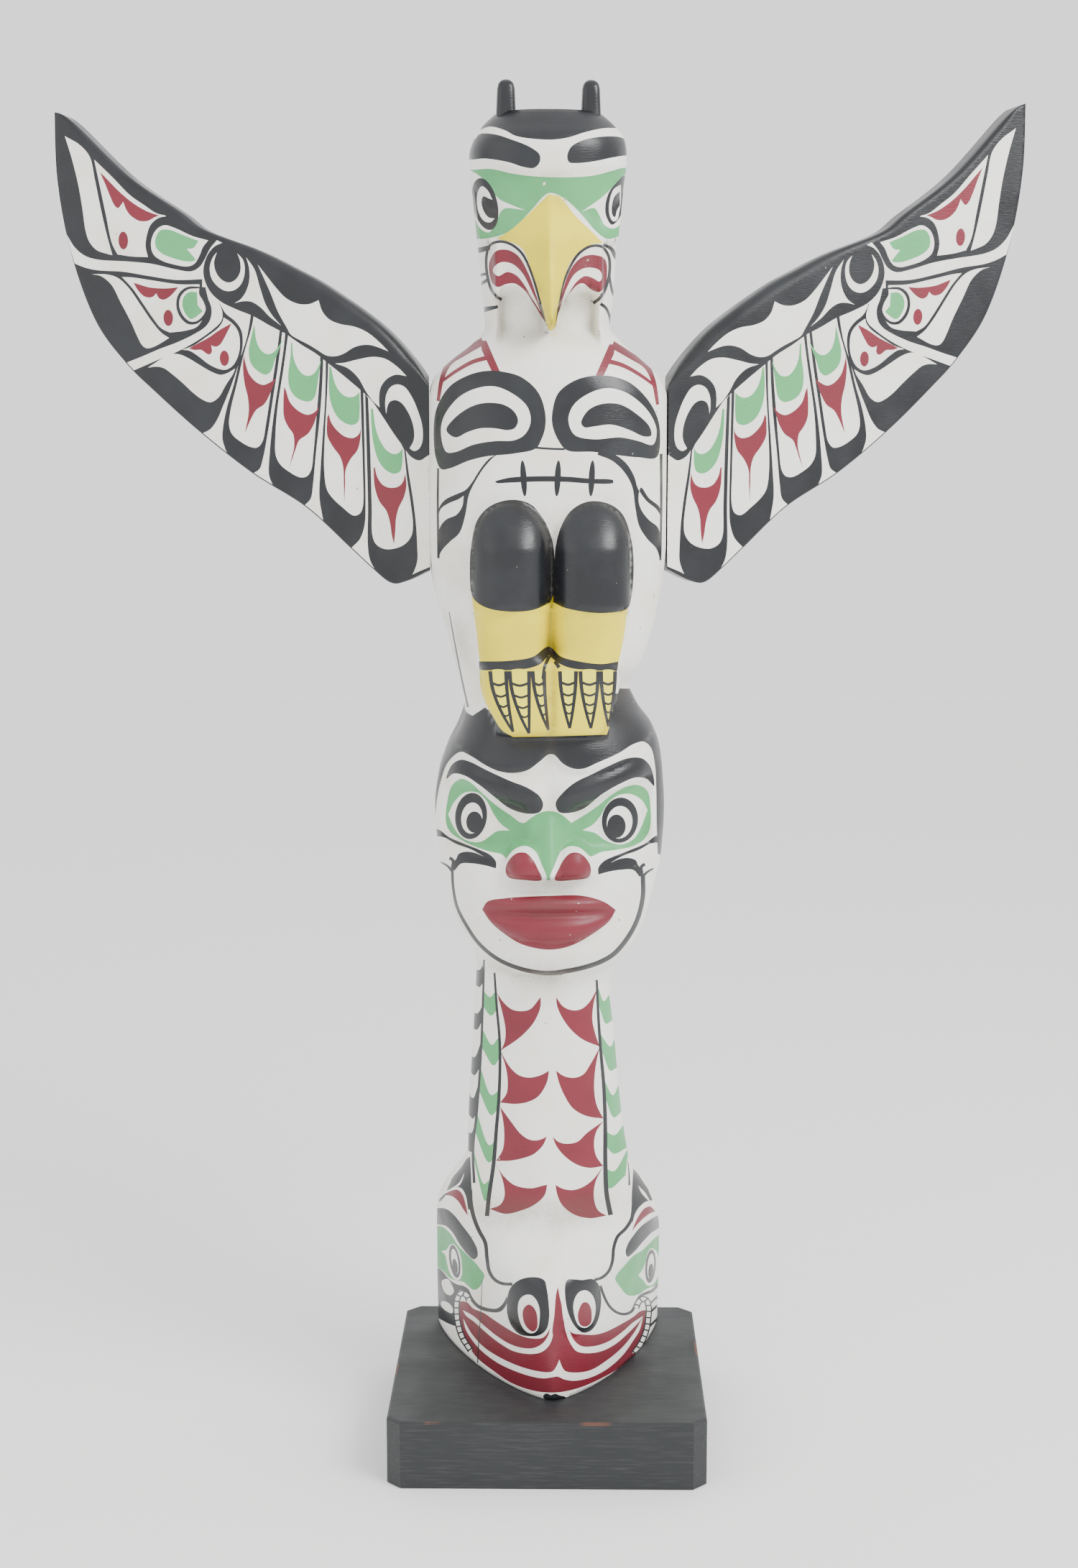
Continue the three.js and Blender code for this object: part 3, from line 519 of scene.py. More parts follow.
def paint_face():
    wrapped("black", spline([(-64.6, 322), (-63.3, 335), (-60.6, 347), (-57, 355.6), (-50, 361.5),
        (-45, 359.6), (-35, 353.4), (-28, 350.4), (-20, 349.4), (-12, 351), (-5, 356), (0, 360), (3, 360),
        (8, 355), (14, 352), (20, 352), (27, 355), (40, 361), (48, 366), (54, 367.5), (58, 364),
        (60.4, 354), (61.2, 340), (61.6, 320), (62.4, 303)], False), [(106, 296), (112, 262), (120, 240),
        (180, 240), (180, 391), (75, 398), (50, 400), (20, 402), (-20, 396), (-45, 392), (-62, 385),
        (-110, 388), (-180, 391), (-180, 240), (-120, 240), (-112, 262), (-106, 300)])
    coat("black", spline([(-58, 346), (-54, 349), (-48, 348), (-40, 343), (-30, 335), (-22, 329),
        (-12, 326), (-5, 327), (-3, 331), (-5, 336), (-12, 341), (-22, 345), (-35, 351), (-45, 356),
        (-50, 357), (-55, 354)]))
    coat("black", spline([(4, 332), (8, 338), (15, 344), (25, 349), (35, 354), (45, 358), (53, 358),
        (58, 353), (60, 342), (56, 346), (50, 347), (42, 344), (30, 337), (20, 329), (12, 326.5),
        (6, 327)]))
    # eye sockets and nose in one green
    coat("green", spline([(-58.4, 321), (-57.6, 333), (-55, 342), (-50, 346), (-45, 344.4), (-38, 338),
        (-30, 331), (-22, 325.4), (-14.5, 320.6), (-10, 323.6), (-5, 326.6), (0, 327.6), (5, 326.8),
        (9.5, 324), (13, 320.8, 1), (20, 325), (28, 330.6), (36, 337), (44, 341.6), (51, 342.6),
        (56, 339.6), (58, 330), (57.8, 318), (54.5, 311.4), (48, 307.4), (38, 305.2), (30, 304),
        (24, 301.4), (21.5, 303.6), (17, 306.8), (12, 306.6), (8, 303), (4.5, 296), (1.4, 287.6, 1),
        (-1, 287.6, 1), (-4, 296), (-7.5, 303), (-12, 307), (-17, 306.6), (-21, 303.6), (-23.6, 299.4, 1),
        (-26.5, 302.4), (-33, 304), (-42, 307), (-50, 311), (-56, 315.4)]))
    coat("white", spline([(-57.2, 325.6, 1), (-53.4, 333), (-47.5, 338.2), (-40, 338), (-35, 333),
        (-31, 325.4), (-27, 320), (-22.2, 316.4, 1), (-29.5, 315.8), (-34, 312.6), (-38, 310),
        (-43.5, 309.6), (-50, 312.6), (-54.4, 319)]))
    coat("white", spline([(56.4, 328.4, 1), (53, 334), (47, 337.4), (40, 336.8), (34, 332.4), (29.6, 325),
        (25.5, 320), (19.4, 316.6, 1), (26.5, 315), (31.4, 311.4), (37, 308.8), (43, 308.6), (49, 312),
        (53.2, 319.4)]))
    for x, z, rx, rz, wide, high, shift, small, short in EYES:
        coat("black", oval(x, z, rx, rz, 6))
        coat("white", oval(x + shift, z - 1.2, wide, high, 6))
        coat("black", oval(x + shift + (1.5 if x < 0 else -1.8), z - 1.2 - 2.3, small, short))
    for side, shift in ((-1, -0.6), (1, 0.4)):
        rim = [(0.8, 287.4), (3.4, 297), (7, 304.4), (12, 307.4), (18, 306), (22.6, 301.4), (25.2, 295),
            (24, 288.6)]
        fill = [(3.2, 287.8), (5.4, 294), (8.6, 300), (12.4, 303.4), (17, 303.4), (21.2, 300.2),
            (23.8, 295), (22.8, 289.6), (13, 287.6)]
        coat("white", spline([(side * x + shift, z) for x, z in rim]))
        coat("red", spline([(side * x + shift, z) for x, z in fill]))
    cheek_leaf(-1, 0.0, 0.0)
    cheek_leaf(1, -1.5, 3.4)
    # mouth and jaw line
    coat("red", spline([(-38, 270.4, 1), (-35, 275), (-25, 277), (0, 278.5), (20, 278.5), (32, 275),
        (38.6, 270.4, 1), (35, 264), (25, 256), (12, 249), (0, 247), (-15, 250), (-25, 256), (-33, 263)]))
    coat("black", ribbon([(-55, 294), (-54.6, 284), (-52.4, 272), (-47, 261), (-40, 250.6), (-30, 242),
        (-18, 236.4), (-4, 233.4), (8, 233.6)], (1.5, 2.9)))
    coat("black", ribbon([(4, 233.4), (18, 236), (30, 240), (38, 245), (46, 255), (51, 265), (54, 278),
        (54, 290)], (2.9, 2.6)))
    coat("black", oval(27.8, 358.4, 1.3, 1.9, 20))


FINS = ([(-29.6, 221.4, 1), (-25.5, 215.6), (-21, 211.8), (-16, 210.8), (-10.5, 212), (-4.5, 219.2, 1),
    (-4.6, 213), (-8.5, 204), (-16, 195.6), (-27.4, 187.4, 1), (-25.2, 193), (-24.8, 200), (-26.6, 210)],
    [(-27.6, 187, 1), (-22, 177.4), (-17, 172.8), (-11, 171.4), (-4.6, 172.8), (0.5, 175.6, 1), (-1, 168),
    (-6, 160), (-12, 156.8), (-19, 155.6), (-28, 156.4, 1), (-24.2, 162), (-23.6, 170), (-24.8, 178)],
    [(-28, 154, 1), (-22, 145.6), (-15.5, 137.2), (-10, 134), (-5, 134.2), (-0.8, 136.2, 1), (-3, 131),
    (-8.4, 125.6), (-15, 123), (-22, 121.6), (-30.4, 121.4, 1), (-26.6, 128), (-25.6, 136), (-26.2, 145)],
    [(-31, 120, 1), (-26, 112.4), (-19.5, 106.8), (-10, 105), (-4, 106.4), (-0.6, 107.2, 1), (-2, 101),
    (-8, 95), (-16, 91.4), (-25, 89.4), (-34.4, 92.4, 1), (-28, 95), (-25.6, 100), (-26, 107), (-28, 114)],
    [(4.4, 219.2, 1), (8.6, 213.6), (14, 211.4), (19, 212.2), (23.4, 216), (28.2, 224.4, 1), (26, 214.6),
    (25.4, 206), (27, 198), (29.6, 190, 1), (20, 194), (13, 200), (8, 207), (5, 214)], [(4.4, 175.6, 1),
    (9, 172.4), (15, 171.4), (20.2, 173.4), (24, 179), (29.6, 189.4, 1), (27.4, 178), (26.6, 165),
    (28, 155.4), (32, 147, 1), (22, 148.6), (14.4, 153), (9.2, 161), (6, 169)], [(2.4, 136.2, 1), (6, 133),
    (11, 131.9), (17, 133.2), (22.4, 138.4), (32, 145.6, 1), (28, 139.4), (26.6, 132), (28, 124.4),
    (32, 118.6, 1), (24, 117.4), (17, 119.2), (10, 124), (5, 130)], [(4.2, 107.2, 1), (8, 105), (14, 104),
    (20, 105.8), (26, 110.4), (32, 118.4, 1), (27.6, 109), (26.6, 100), (29, 92), (34, 88.6, 1), (24, 87),
    (15, 89.2), (8, 95), (5, 102)])


def scallop(colour, upper, lower):
    """A hanging crescent between two U-shaped edges, each given by its left end, foot and right end."""
    (a, b, c), (d, e, f) = upper, lower
    coat(colour, spline([(*a, 1), b, (*c, 1), (*f, 1), e, (*d, 1)]))


def paint_column():
    for fin in FINS:
        coat("red", spline(fin))
    for upper, lower in ((((-37.6, 223), (-33.6, 219), (-30.8, 222)), ((-38, 214), (-33, 208),
            (-30, 211))), (((-38, 200), (-32.6, 190.8), (-29, 195)), ((-38.4, 189), (-31.6, 178.4),
            (-28.2, 183))), (((-39.5, 178), (-33, 160.8), (-28.6, 164)), ((-40, 163), (-33, 148.8),
            (-28.6, 154))), (((-42, 152), (-34.2, 130.8), (-30, 135)), ((-43, 140), (-34.6, 120.4),
            (-31, 124))), (((-44, 130), (-37.4, 107.4), (-34.6, 110)), ((-43.6, 124), (-36.8, 97),
            (-35, 100))), (((28.6, 225), (32, 216.8), (35, 221)), ((29.4, 213), (33.4, 203.4), (37, 206))),
            (((30.4, 197), (35.8, 190), (38.5, 196)), ((31.4, 186), (36, 175.6), (39.8, 178))),
            (((32.8, 169), (37.4, 161), (41, 168)), ((33.2, 159), (38, 147.8), (43, 152))),
            (((33.4, 139.4), (38.4, 137.2), (45, 146)), ((33.4, 131), (38, 126), (46, 130))),
            (((33.6, 117.4), (38, 115.4), (47, 131)), ((33.4, 107), (36, 105), (45, 113)))):
        scallop("green", upper, lower)
    for upper, lower in ((((-43, 236), (-39.6, 235), (-37, 240)), ((-43, 228), (-39.8, 224.8),
            (-37.4, 228))), (((-45, 211), (-41, 209.4), (-38, 214)), ((-45.6, 203), (-41.4, 199.6),
            (-38.6, 204))), (((-46, 186), (-42.8, 183.4), (-39.4, 191)), ((-47, 178), (-42.8, 172.6),
            (-39.8, 177))), (((-47.6, 166), (-43.8, 159), (-40.6, 167)), ((-48, 153), (-43.8, 146.6),
            (-41, 152))), (((-48.5, 141), (-45, 138), (-42.2, 145)), ((-48.5, 131), (-45, 126.6),
            (-43, 131)))):
        scallop("black", upper, lower)
    for line, ends in (([(-31, 233.4), (-29.8, 214), (-28, 190), (-28.6, 160), (-30.2, 140), (-31.8, 120),
            (-34.6, 100), (-35.8, 88)], (1.2, 2.6)), ([(27.8, 229.4), (29, 205), (30.4, 186), (32, 168),
            (33, 146), (33.2, 120), (34, 102), (36.4, 89)], (1.4, 2.9)), ([(-37, 241), (-37.8, 214),
            (-39.2, 182), (-41.4, 152), (-43.8, 128), (-43.2, 108)], (1.2, 1.6)), ([(46.4, 121), (47, 114),
            (47.2, 107)], (0.6, 1.0))):
        coat("black", ribbon(line, ends))


def rungs(line, gap, width, reach):
    """Short strokes across a line, evenly spaced: the edges of a row of teeth."""
    path = spline(line, False, 0.5)
    way = np.gradient(path, axis=0)
    way /= np.linalg.norm(way, axis=1)[:, None]
    for i in range(int(gap), len(path) - 1, int(gap * 2)):
        across = np.array([-way[i, 1], way[i, 0]]) * reach / 2
        coat("black", ribbon([path[i] - across, path[i] + across], width))


def paint_beast():
    # ears and the red crescents below them
    coat("black", spline([(-45.4, 124, 1), (-50, 121), (-56, 111), (-59.4, 103, 1), (-55.4, 105.2),
        (-51, 105), (-48.4, 101), (-46.8, 92, 1), (-44.4, 92, 1), (-44.8, 108)]))
    coat("white", spline([(-48.8, 114.4, 1), (-52.2, 108), (-59, 103.2, 1), (-55.6, 104.6), (-52, 106.4),
        (-50, 110)]))
    coat("red", spline([(-61.4, 100.8, 1), (-57, 103.2), (-53, 104), (-50, 101), (-48.2, 95),
        (-46.8, 88, 1), (-49.6, 92), (-52.6, 97), (-56.4, 100)]))
    coat("black", ribbon([(-64, 97), (-61.8, 99.2), (-59.6, 101.6)], (1.6, 0.9)))
    coat("black", spline([(49.4, 117, 1), (53, 114.4), (57.4, 106.5), (61, 98, 1), (57, 97.2),
        (53.6, 94.4), (50.8, 90), (49.2, 84, 1), (48.6, 98), (49, 108)]))
    coat("white", spline([(52.3, 107, 1), (54.4, 102.4), (59.8, 96.4, 1), (58.4, 99.4), (56.2, 103)]))
    coat("red", spline([(62.6, 91.4, 1), (59.4, 94.4), (56, 93), (53, 89), (50.6, 84), (48.8, 79, 1),
        (52.6, 84), (56.6, 88), (60, 90.4)]))
    # brows, eye panels and eyes
    coat("black", spline([(-67, 92), (-62.6, 92.8), (-59, 92), (-55, 88.6), (-50, 82), (-45, 75),
        (-41.6, 68), (-41.4, 63.4), (-43.6, 61.6), (-47, 64.4), (-52, 71), (-56, 78), (-60, 82),
        (-67, 84)]))
    coat("black", spline([(66, 90), (63, 88.6), (59, 86), (54, 82), (50, 77), (46.6, 71.6), (45.2, 66.6),
        (46.3, 63.6), (50, 66.4), (55, 72.4), (60, 78), (66, 83)]))
    coat("green", spline([(-68, 82, 1), (-62, 81.4), (-57.4, 77.4), (-53, 70.4), (-48, 65), (-43, 60),
        (-40, 56), (-37.4, 52), (-38.6, 48), (-41, 44), (-44, 43), (-47, 45.4), (-50, 48), (-54, 48.8),
        (-58, 50.4), (-61, 54), (-68, 59, 1)]))
    coat("white", spline([(-62.6, 66.6, 1), (-59.4, 67.6), (-58, 70), (-56, 71.2), (-53.4, 69),
        (-51.4, 64), (-50.6, 58), (-50.6, 52), (-52.6, 49), (-55.6, 50), (-58, 54), (-59.4, 60),
        (-60.2, 64)]))
    coat("green", spline([(68, 80, 1), (62.6, 75.6), (55.4, 68), (50, 64.4), (44, 57.6), (40, 52.6),
        (39.2, 50), (42, 45.4), (46, 40.6), (49.2, 39.8), (53.4, 41), (57.4, 44), (62, 46), (68, 48, 1)]))
    coat("white", spline([(52.8, 52.4, 1), (55.4, 56.4), (57, 61), (58, 65.6), (60.2, 69), (63.4, 67),
        (65, 60), (64.4, 52), (61, 46.6), (58, 46), (56, 49)]))
    for x, z, turn in ((-54.8, 60.4, -8), (59.9, 58, 4)):
        coat("black", oval(x, z, 3.1, 10.2, turn, 1.0))
        coat("white", oval(x + 0.1, z, 1.9, 7.7, turn, 1.0))
        coat("black", oval(x + 0.2, z - 3, 1.5, 4.7, turn, 1.0))
    # mouth: one red field, with white bands laid over it
    coat("red", spline([(-52.4, 35.6), (-48, 35.6), (-44, 31.6), (-38, 29), (-30, 23.4), (-24, 19.4),
        (-19, 16.4), (-11, 13.6), (-3, 14), (1, 20), (2.6, 30), (4, 38), (5.6, 45, 1), (7, 38), (9, 30),
        (11, 22), (14, 17), (21, 16), (28, 16), (34, 17.8), (42, 22), (50, 27), (54, 30.4), (57.4, 31),
        (58.4, 25), (56.6, 14), (52, 4.6), (45, -2.4), (35, -9), (20, -16.4), (8, -19.6), (0, -20),
        (-10, -18.6), (-22, -14), (-32, -7), (-42, 1.4), (-48.4, 11), (-52, 20), (-53.6, 30)]))
    coat("white", spline([(-50.2, 30.6, 1), (-44, 27), (-38, 21.4), (-30, 14.6), (-22, 9.6), (-14, 7.3),
        (-8, 7.6), (-3, 10.6), (0.3, 16), (1.2, 24), (0.8, 36), (0, 50, 1), (5, 50, 1), (4.8, 44), (4, 34),
        (3.3, 22), (2.5, 14), (0, 8.4), (-4, 5), (-10, 3.8), (-20, 5.4), (-28, 10), (-36, 16.4), (-43, 23),
        (-48.4, 27.4)]))
    coat("white", spline([(55.8, 27.6, 1), (50, 23.6), (44, 18), (36, 12), (28, 9), (20, 8.7), (16, 11.4),
        (13, 17), (11.5, 24), (10.8, 34), (10.3, 50, 1), (6, 50, 1), (6.6, 44), (7.7, 36), (9, 25),
        (11, 15.6), (14, 9), (17, 5.5), (24, 4.5), (32, 6), (40, 10.5), (48, 18), (54, 24.8)]))
    coat("white", spline([(-50, 25.4, 1), (-45, 16), (-38, 8), (-30, 2.4), (-20, -2.6), (-10, -6),
        (0, -7.5), (3, -6.6), (5, -3.6), (6.6, 0.4, 1), (8, -3.6), (10, -6.6), (16, -7.6), (25, -6),
        (35, 0.4), (44, 8.5), (51, 18), (55.6, 26.8, 1), (53.8, 19), (50, 12.4), (44, 3.5), (35, -5),
        (25, -10.5), (15, -12.6), (9, -11.6), (5.5, -10), (2, -10.6), (-3, -11.2), (-10, -10), (-20, -6.6),
        (-30, -1.6), (-39, 5.4), (-45, 12.6), (-48.6, 19)]))
    coat("white", spline([(1.2, 24, 1), (-0.4, 50, 1), (10.4, 50, 1), (11, 34), (9.2, 34), (6.9, 44),
        (5.6, 46, 1), (4.6, 44), (3.6, 32)]))
    coat("red", spline([(5.6, 45.4, 1), (6.6, 40), (8, 30), (9.6, 20), (6, 8, 1), (2.6, 16), (3.6, 28),
        (4.6, 40)]))
    # nostrils
    coat("black", spline([(-22.4, 44), (-18, 48.6), (-12, 50.8), (-5, 50.6), (-2, 48.8), (-0.8, 44),
        (0.3, 35), (0.6, 26), (-1, 19), (-5, 15.5), (-11, 14.7), (-17, 16), (-21.6, 21), (-24, 28),
        (-24.2, 36)]))
    coat("white", spline([(-17.8, 33), (-16.5, 37.6), (-13.5, 40), (-10, 40), (-7, 37), (-5.2, 32),
        (-5, 26), (-6, 19.6), (-8, 17), (-11, 16.6), (-14, 18.6), (-17, 25)]))
    coat("red", spline([(-15, 30), (-13.5, 33), (-11.5, 34.3), (-9, 33), (-7, 29.6), (-6.2, 24),
        (-6.6, 19.6), (-8.6, 17.6), (-11, 18.6), (-14, 22.6)]))
    coat("black", spline([(10, 46.6), (11.4, 49.6), (15, 49.8), (20, 49.4), (26, 50), (29.6, 46.6),
        (31, 40), (30.8, 32), (29, 24), (25.5, 18.7), (21, 17), (16.5, 20), (12.5, 27), (10.3, 36)]))
    coat("white", spline([(14.8, 34), (16.3, 39.5), (19, 42.5), (22.5, 43), (26, 40), (27.8, 34),
        (27.3, 27), (25, 22), (21.5, 20), (18, 21.5), (15.7, 26.5)]))
    coat("red", spline([(17.4, 26.6), (18, 31), (20.5, 35.6), (23, 35.6), (25, 32.6), (25.6, 27.6),
        (25, 23), (22, 20.8), (19, 21.8)]))
    # the face's contour, and the lines that run from the nostrils round the corners of the mouth
    coat("black", ribbon([(-45.6, 104), (-45.2, 96), (-43.4, 87), (-40.4, 79), (-36.9, 72), (-35.8, 62),
        (-34.6, 54.6), (-31.6, 49.6), (-27, 47), (-21, 46.6)], (2.6, 1.9)))
    coat("black", ribbon([(50, 104), (49.6, 94), (48.6, 86.6), (45, 80.6), (40.6, 76), (38.3, 69),
        (37.6, 61), (35.4, 54.8), (31.6, 51), (27, 49.4)], (2.2, 1.7)))
    coat("black", spline([(-67, 58, 1), (-62.6, 55), (-57.4, 48.8), (-53, 46.2), (-50, 45.6),
        (-46.8, 43.4), (-44.4, 38.4), (-41, 34.2), (-35, 31.9), (-30, 31.8), (-26.6, 34.8), (-24, 40, 1),
        (-24.4, 34.4), (-28, 29.8), (-34, 29.4), (-41, 31.6), (-46, 37), (-49, 42.2), (-52, 42.8),
        (-54, 38), (-54.6, 30), (-53.8, 21), (-58, 22), (-67, 27, 1)]))
    for slot in ([(-62.4, 48.6), (-59, 49.6), (-56.6, 46), (-55.4, 41.8), (-57.4, 39.6), (-60.4, 41),
            (-62, 44.6)], [(-62.6, 36), (-58.6, 35), (-56, 31.4), (-56.4, 28.6), (-60.4, 30.4),
            (-63, 33.4)]):
        coat("white", spline(slot))
    coat("black", ribbon([(30.6, 46), (32.6, 40), (36, 33.4), (40.4, 29.6), (45, 28.6), (49, 30.4),
        (51.4, 35), (54, 39.6), (57.6, 41.6), (61, 43), (65, 48)], (1.6, 1.8)))
    for line in ([(60, 30), (66, 36)], [(60, 35.4), (66, 41.4)], [(59, 20.6), (66, 28)]):
        coat("black", ribbon(line, 1.4))
    for teeth in ([(-46.4, 36.4), (-48, 39.8), (-51, 41), (-53.2, 38), (-53.9, 30), (-53, 22), (-50.6, 14),
            (-45.6, 5.6)], [(51.6, 32.4), (53, 36), (55.4, 38), (57.8, 37), (59, 33), (58.8, 26),
            (57.6, 18.4), (54.8, 11), (50.4, 4.2)]):
        coat("black", ribbon(teeth, 3.8))
        coat("white", ribbon(teeth, 2.2))
        rungs(teeth, 4, 0.9, 3.4)
    # an old crack beside the left nostril, and paint chipped from the base edge
    coat("black", ribbon([(-38.8, 49), (-39.6, 30), (-41, 10), (-41.6, -2)], (0.4, 0.7)))
    coat("black", spline([(-3, -22), (-1, -20.4), (1.6, -21.6), (4, -20.6), (7, -21.8), (10, -22.4),
        (10.5, -24), (4, -25.5), (-2, -24.4)]))


def paint_back():
    for edge in (-BACK_PANEL, BACK_PANEL):
        seam = math.copysign(180, edge)
        coats.append(("black", around([(edge, 0), (seam, 0), (seam, TOP), (edge, TOP)])))


for work in (paint_back, paint_head, paint_face, paint_torso, paint_column, paint_beast):
    work()


# ---------------------------------------------------------------- cutting the surface along the outlines
def inside(outline, points):
    """Which points lie inside a closed outline, however it winds."""
    low, high = outline.min(0), outline.max(0)
    near = np.nonzero(((points >= low) & (points <= high)).all(1))[0]
    turns = np.zeros(len(near), int)
    px, pz = points[near, 0], points[near, 1]
    for a, b in zip(outline, np.roll(outline, -1, 0)):
        side = (b[0] - a[0]) * (pz - a[1]) - (b[1] - a[1]) * (px - a[0])
        turns += (a[1] <= pz) & (b[1] > pz) & (side > 0)
        turns -= (a[1] > pz) & (b[1] <= pz) & (side < 0)
    return near[turns != 0]


def finely(ring, longest):
    """The same closed ring with points added along its long sides."""
    out = []
    for a, b in zip(ring, np.roll(ring, -1, 0)):
        count = max(1, math.ceil(np.linalg.norm(b - a) / longest))
        out += [a + (b - a) * i / count for i in range(count)]
    return np.array(out)


def cut_and_colour(field, outlines, clear, edge=None):
    """Triangles over a field of points, cut along every outline, with each one's colour number."""
    rings = [finely(np.asarray(o), EDGE) for _, o in outlines]
    rim = np.concatenate(rings)
    cell = {}
    for p in rim:
        cell.setdefault((int(p[0] // clear), int(p[1] // clear)), []).append(p)
    keep = []
    for p in field:
        i, j = int(p[0] // clear), int(p[1] // clear)
        close = [q for di in (-1, 0, 1) for dj in (-1, 0, 1) for q in cell.get((i + di, j + dj), ())]
        keep.append(not close or min((q[0] - p[0]) ** 2 + (q[1] - p[1]) ** 2 for q in close) > clear ** 2)
    points = [tuple(p) for p, k in zip(field, keep) if k]
    edges = []
    for ring in rings:
        first = len(points)
        points += [tuple(p) for p in ring]
        edges += [(first + i, first + (i + 1) % len(ring)) for i in range(len(ring))]
    verts, _, faces, *_ = delaunay_2d_cdt(points, edges, [], 0, 1e-4, False)
    verts = np.array([tuple(v) for v in verts])
    faces = np.array([tuple(f) for f in faces])
    middle = verts[faces].mean(1)
    if edge is not None:
        within = inside(edge, middle)
        faces, middle = faces[within], middle[within]
    colour = np.zeros(len(faces), int)
    for name, outline in outlines:
        colour[inside(np.asarray(outline), middle)] = COLOURS.index(name)
    return verts, faces, colour


COLOURS = ["white", "black", "green", "red", "yellow", "bright"]


def pole_field():
    """Staggered rows of points over the opened-out pole: fine in front, wide apart behind."""
    points = []
    edge = math.pi * ROUND
    for row, z in enumerate(np.linspace(0, TOP, LEVELS)):
        odd = row % 2
        u = [-edge]
        u += list(np.arange(-edge + COARSE - 2 * odd, -PAINTED, COARSE))
        u += list(np.arange(-PAINTED + FINE * 0.5 * odd, PAINTED, FINE))
        u += list(np.arange(PAINTED + 1 + 2 * odd, edge - 2, COARSE))
        u.append(edge)
        points += [(x, z) for x in u]
    return np.array(points)


# where painted shade and grime darken the paint: across, height above the floor, how far it spreads sideways
# and up, how thick
SHADE_AND_GRIME = [(0, 140, 34, 9, 0.75), (-36, 132, 8, 12, 0.6), (-6, 282, 30, 8, 0.8), (-50, 470, 9, 40, 0.55),
         (0, 322, 26, 5, 0.5), (-20, 75, 12, 14, 0.4), (-41, 60, 5, 24, 0.35), (42, 438, 6, 20, 0.3),
         (2, 430, 3, 22, 0.8), (-90, 540, 14, 26, 0.2), (0, 634, 16, 8, 0.25), (-34, 690, 8, 12, 0.3)]


# how the bend of the surface becomes painted shade and grime: what bend counts, how often it is evened out,
# how strongly
HOLLOW = dict(range=(-0.3, 0.6), passes=10, gain=9.0, most=0.8)


def lay_shade_and_grime(mesh):
    """How much painted shade and grime darken each point: more in the hollows of the carving, and in a few
    places.
    """
    count = len(mesh.vertices)
    place, normal = np.empty(count * 3), np.empty(count * 3)
    mesh.vertices.foreach_get("co", place)
    mesh.vertices.foreach_get("normal", normal)
    place, normal = place.reshape(-1, 3) / MM, normal.reshape(-1, 3)
    pair = np.empty(len(mesh.edges) * 2, int)
    mesh.edges.foreach_get("vertices", pair)
    pair = pair.reshape(-1, 2)
    way = place[pair[:, 1]] - place[pair[:, 0]]
    near = np.maximum((way ** 2).sum(1), 1e-4)
    touching = np.maximum(np.bincount(pair.ravel(), minlength=count), 1)
    hollow = (np.bincount(pair[:, 0], (way * normal[pair[:, 0]]).sum(1) / near, count)
              + np.bincount(pair[:, 1], (-way * normal[pair[:, 1]]).sum(1) / near, count)) / touching
    hollow = np.clip(hollow, *HOLLOW["range"])
    for _ in range(HOLLOW["passes"]):
        spread = (np.bincount(pair[:, 0], hollow[pair[:, 1]], count)
                  + np.bincount(pair[:, 1], hollow[pair[:, 0]], count)) / touching
        hollow = 0.5 * hollow + 0.5 * spread
    dirt = np.clip(hollow * HOLLOW["gain"], 0.0, HOLLOW["most"])
    # listed places of painted shade, such as under the chin, at the mouth and between the feet, with some
    # real grime
    for x, z, wide, high, thick in SHADE_AND_GRIME:
        dirt += thick * np.exp(-((place[:, 0] - x) / wide) ** 2 - ((place[:, 2] - z) / high) ** 2)
    values = np.clip(dirt, 0, 1).astype(np.float32)
    mesh.attributes.new("dirt", "FLOAT", "POINT").data.foreach_set("value", values)


def to_mesh(name, verts, faces, colours, materials):
    """A smooth-shaded closed piece from millimetres, without stray points or slivers."""
    mesh = bpy.data.meshes.new(name)
    mesh.from_pydata([tuple(v) for v in verts * MM], [], [tuple(int(i) for i in f) for f in faces])
    for material in materials:
        mesh.materials.append(material)
    mesh.polygons.foreach_set("material_index", np.asarray(colours, dtype=np.int32))
    mesh.polygons.foreach_set("use_smooth", np.ones(len(mesh.polygons), dtype=bool))
    mesh.update()
    form = bmesh.new()
    form.from_mesh(mesh)
    bmesh.ops.remove_doubles(form, verts=form.verts, dist=WELD)
    bmesh.ops.dissolve_degenerate(form, edges=form.edges, dist=WELD)
    bmesh.ops.triangulate(form, faces=[f for f in form.faces if len(f.verts) > 3])
    bmesh.ops.delete(form, geom=[v for v in form.verts if not v.link_faces], context="VERTS")
    form.to_mesh(mesh)
    form.free()
    # painted shade and grime for the enamels to darken
    lay_shade_and_grime(mesh)
    piece = bpy.data.objects.new(name, mesh)
    bpy.context.scene.collection.objects.link(piece)
    return piece


def turned(x, y, z):
    """From the pole's own axes to the whole object's."""
    c, s = math.cos(TURN), math.sin(TURN)
    return np.stack([x * c - y * s, x * s + y * c, z + LIFT], -1)


# ---------------------------------------------------------------- paints
def linear(code):
    """sRGB hex to linear colour."""
    value = [int(code[i:i + 2], 16) / 255 for i in (1, 3, 5)]
    return tuple(v / 12.92 if v <= 0.04045 else ((v + 0.055) / 1.055) ** 2.4 for v in value) + (1.0,)


def add(tree, kind, settings, sockets):
    """One node, with its settings, and each socket given a value or the (node, output) that feeds it."""
    node = tree.nodes.new(kind)
    for key, value in settings.items():
        setattr(node, key, value)
    for key, value in sockets.items():
        if isinstance(value, tuple) and isinstance(value[0], bpy.types.Node):
            tree.links.new(value[0].outputs[value[1]], node.inputs[key])
        else:
            node.inputs[key].default_value = value
    return node


def bare(name):
    """A new material with its shader, the object's own coordinates and nothing else."""
    material = bpy.data.materials.new(name)
    material.use_nodes = True
    tree = material.node_tree
    return material, tree, tree.nodes["Principled BSDF"], add(tree, "ShaderNodeTexCoord", {}, {})


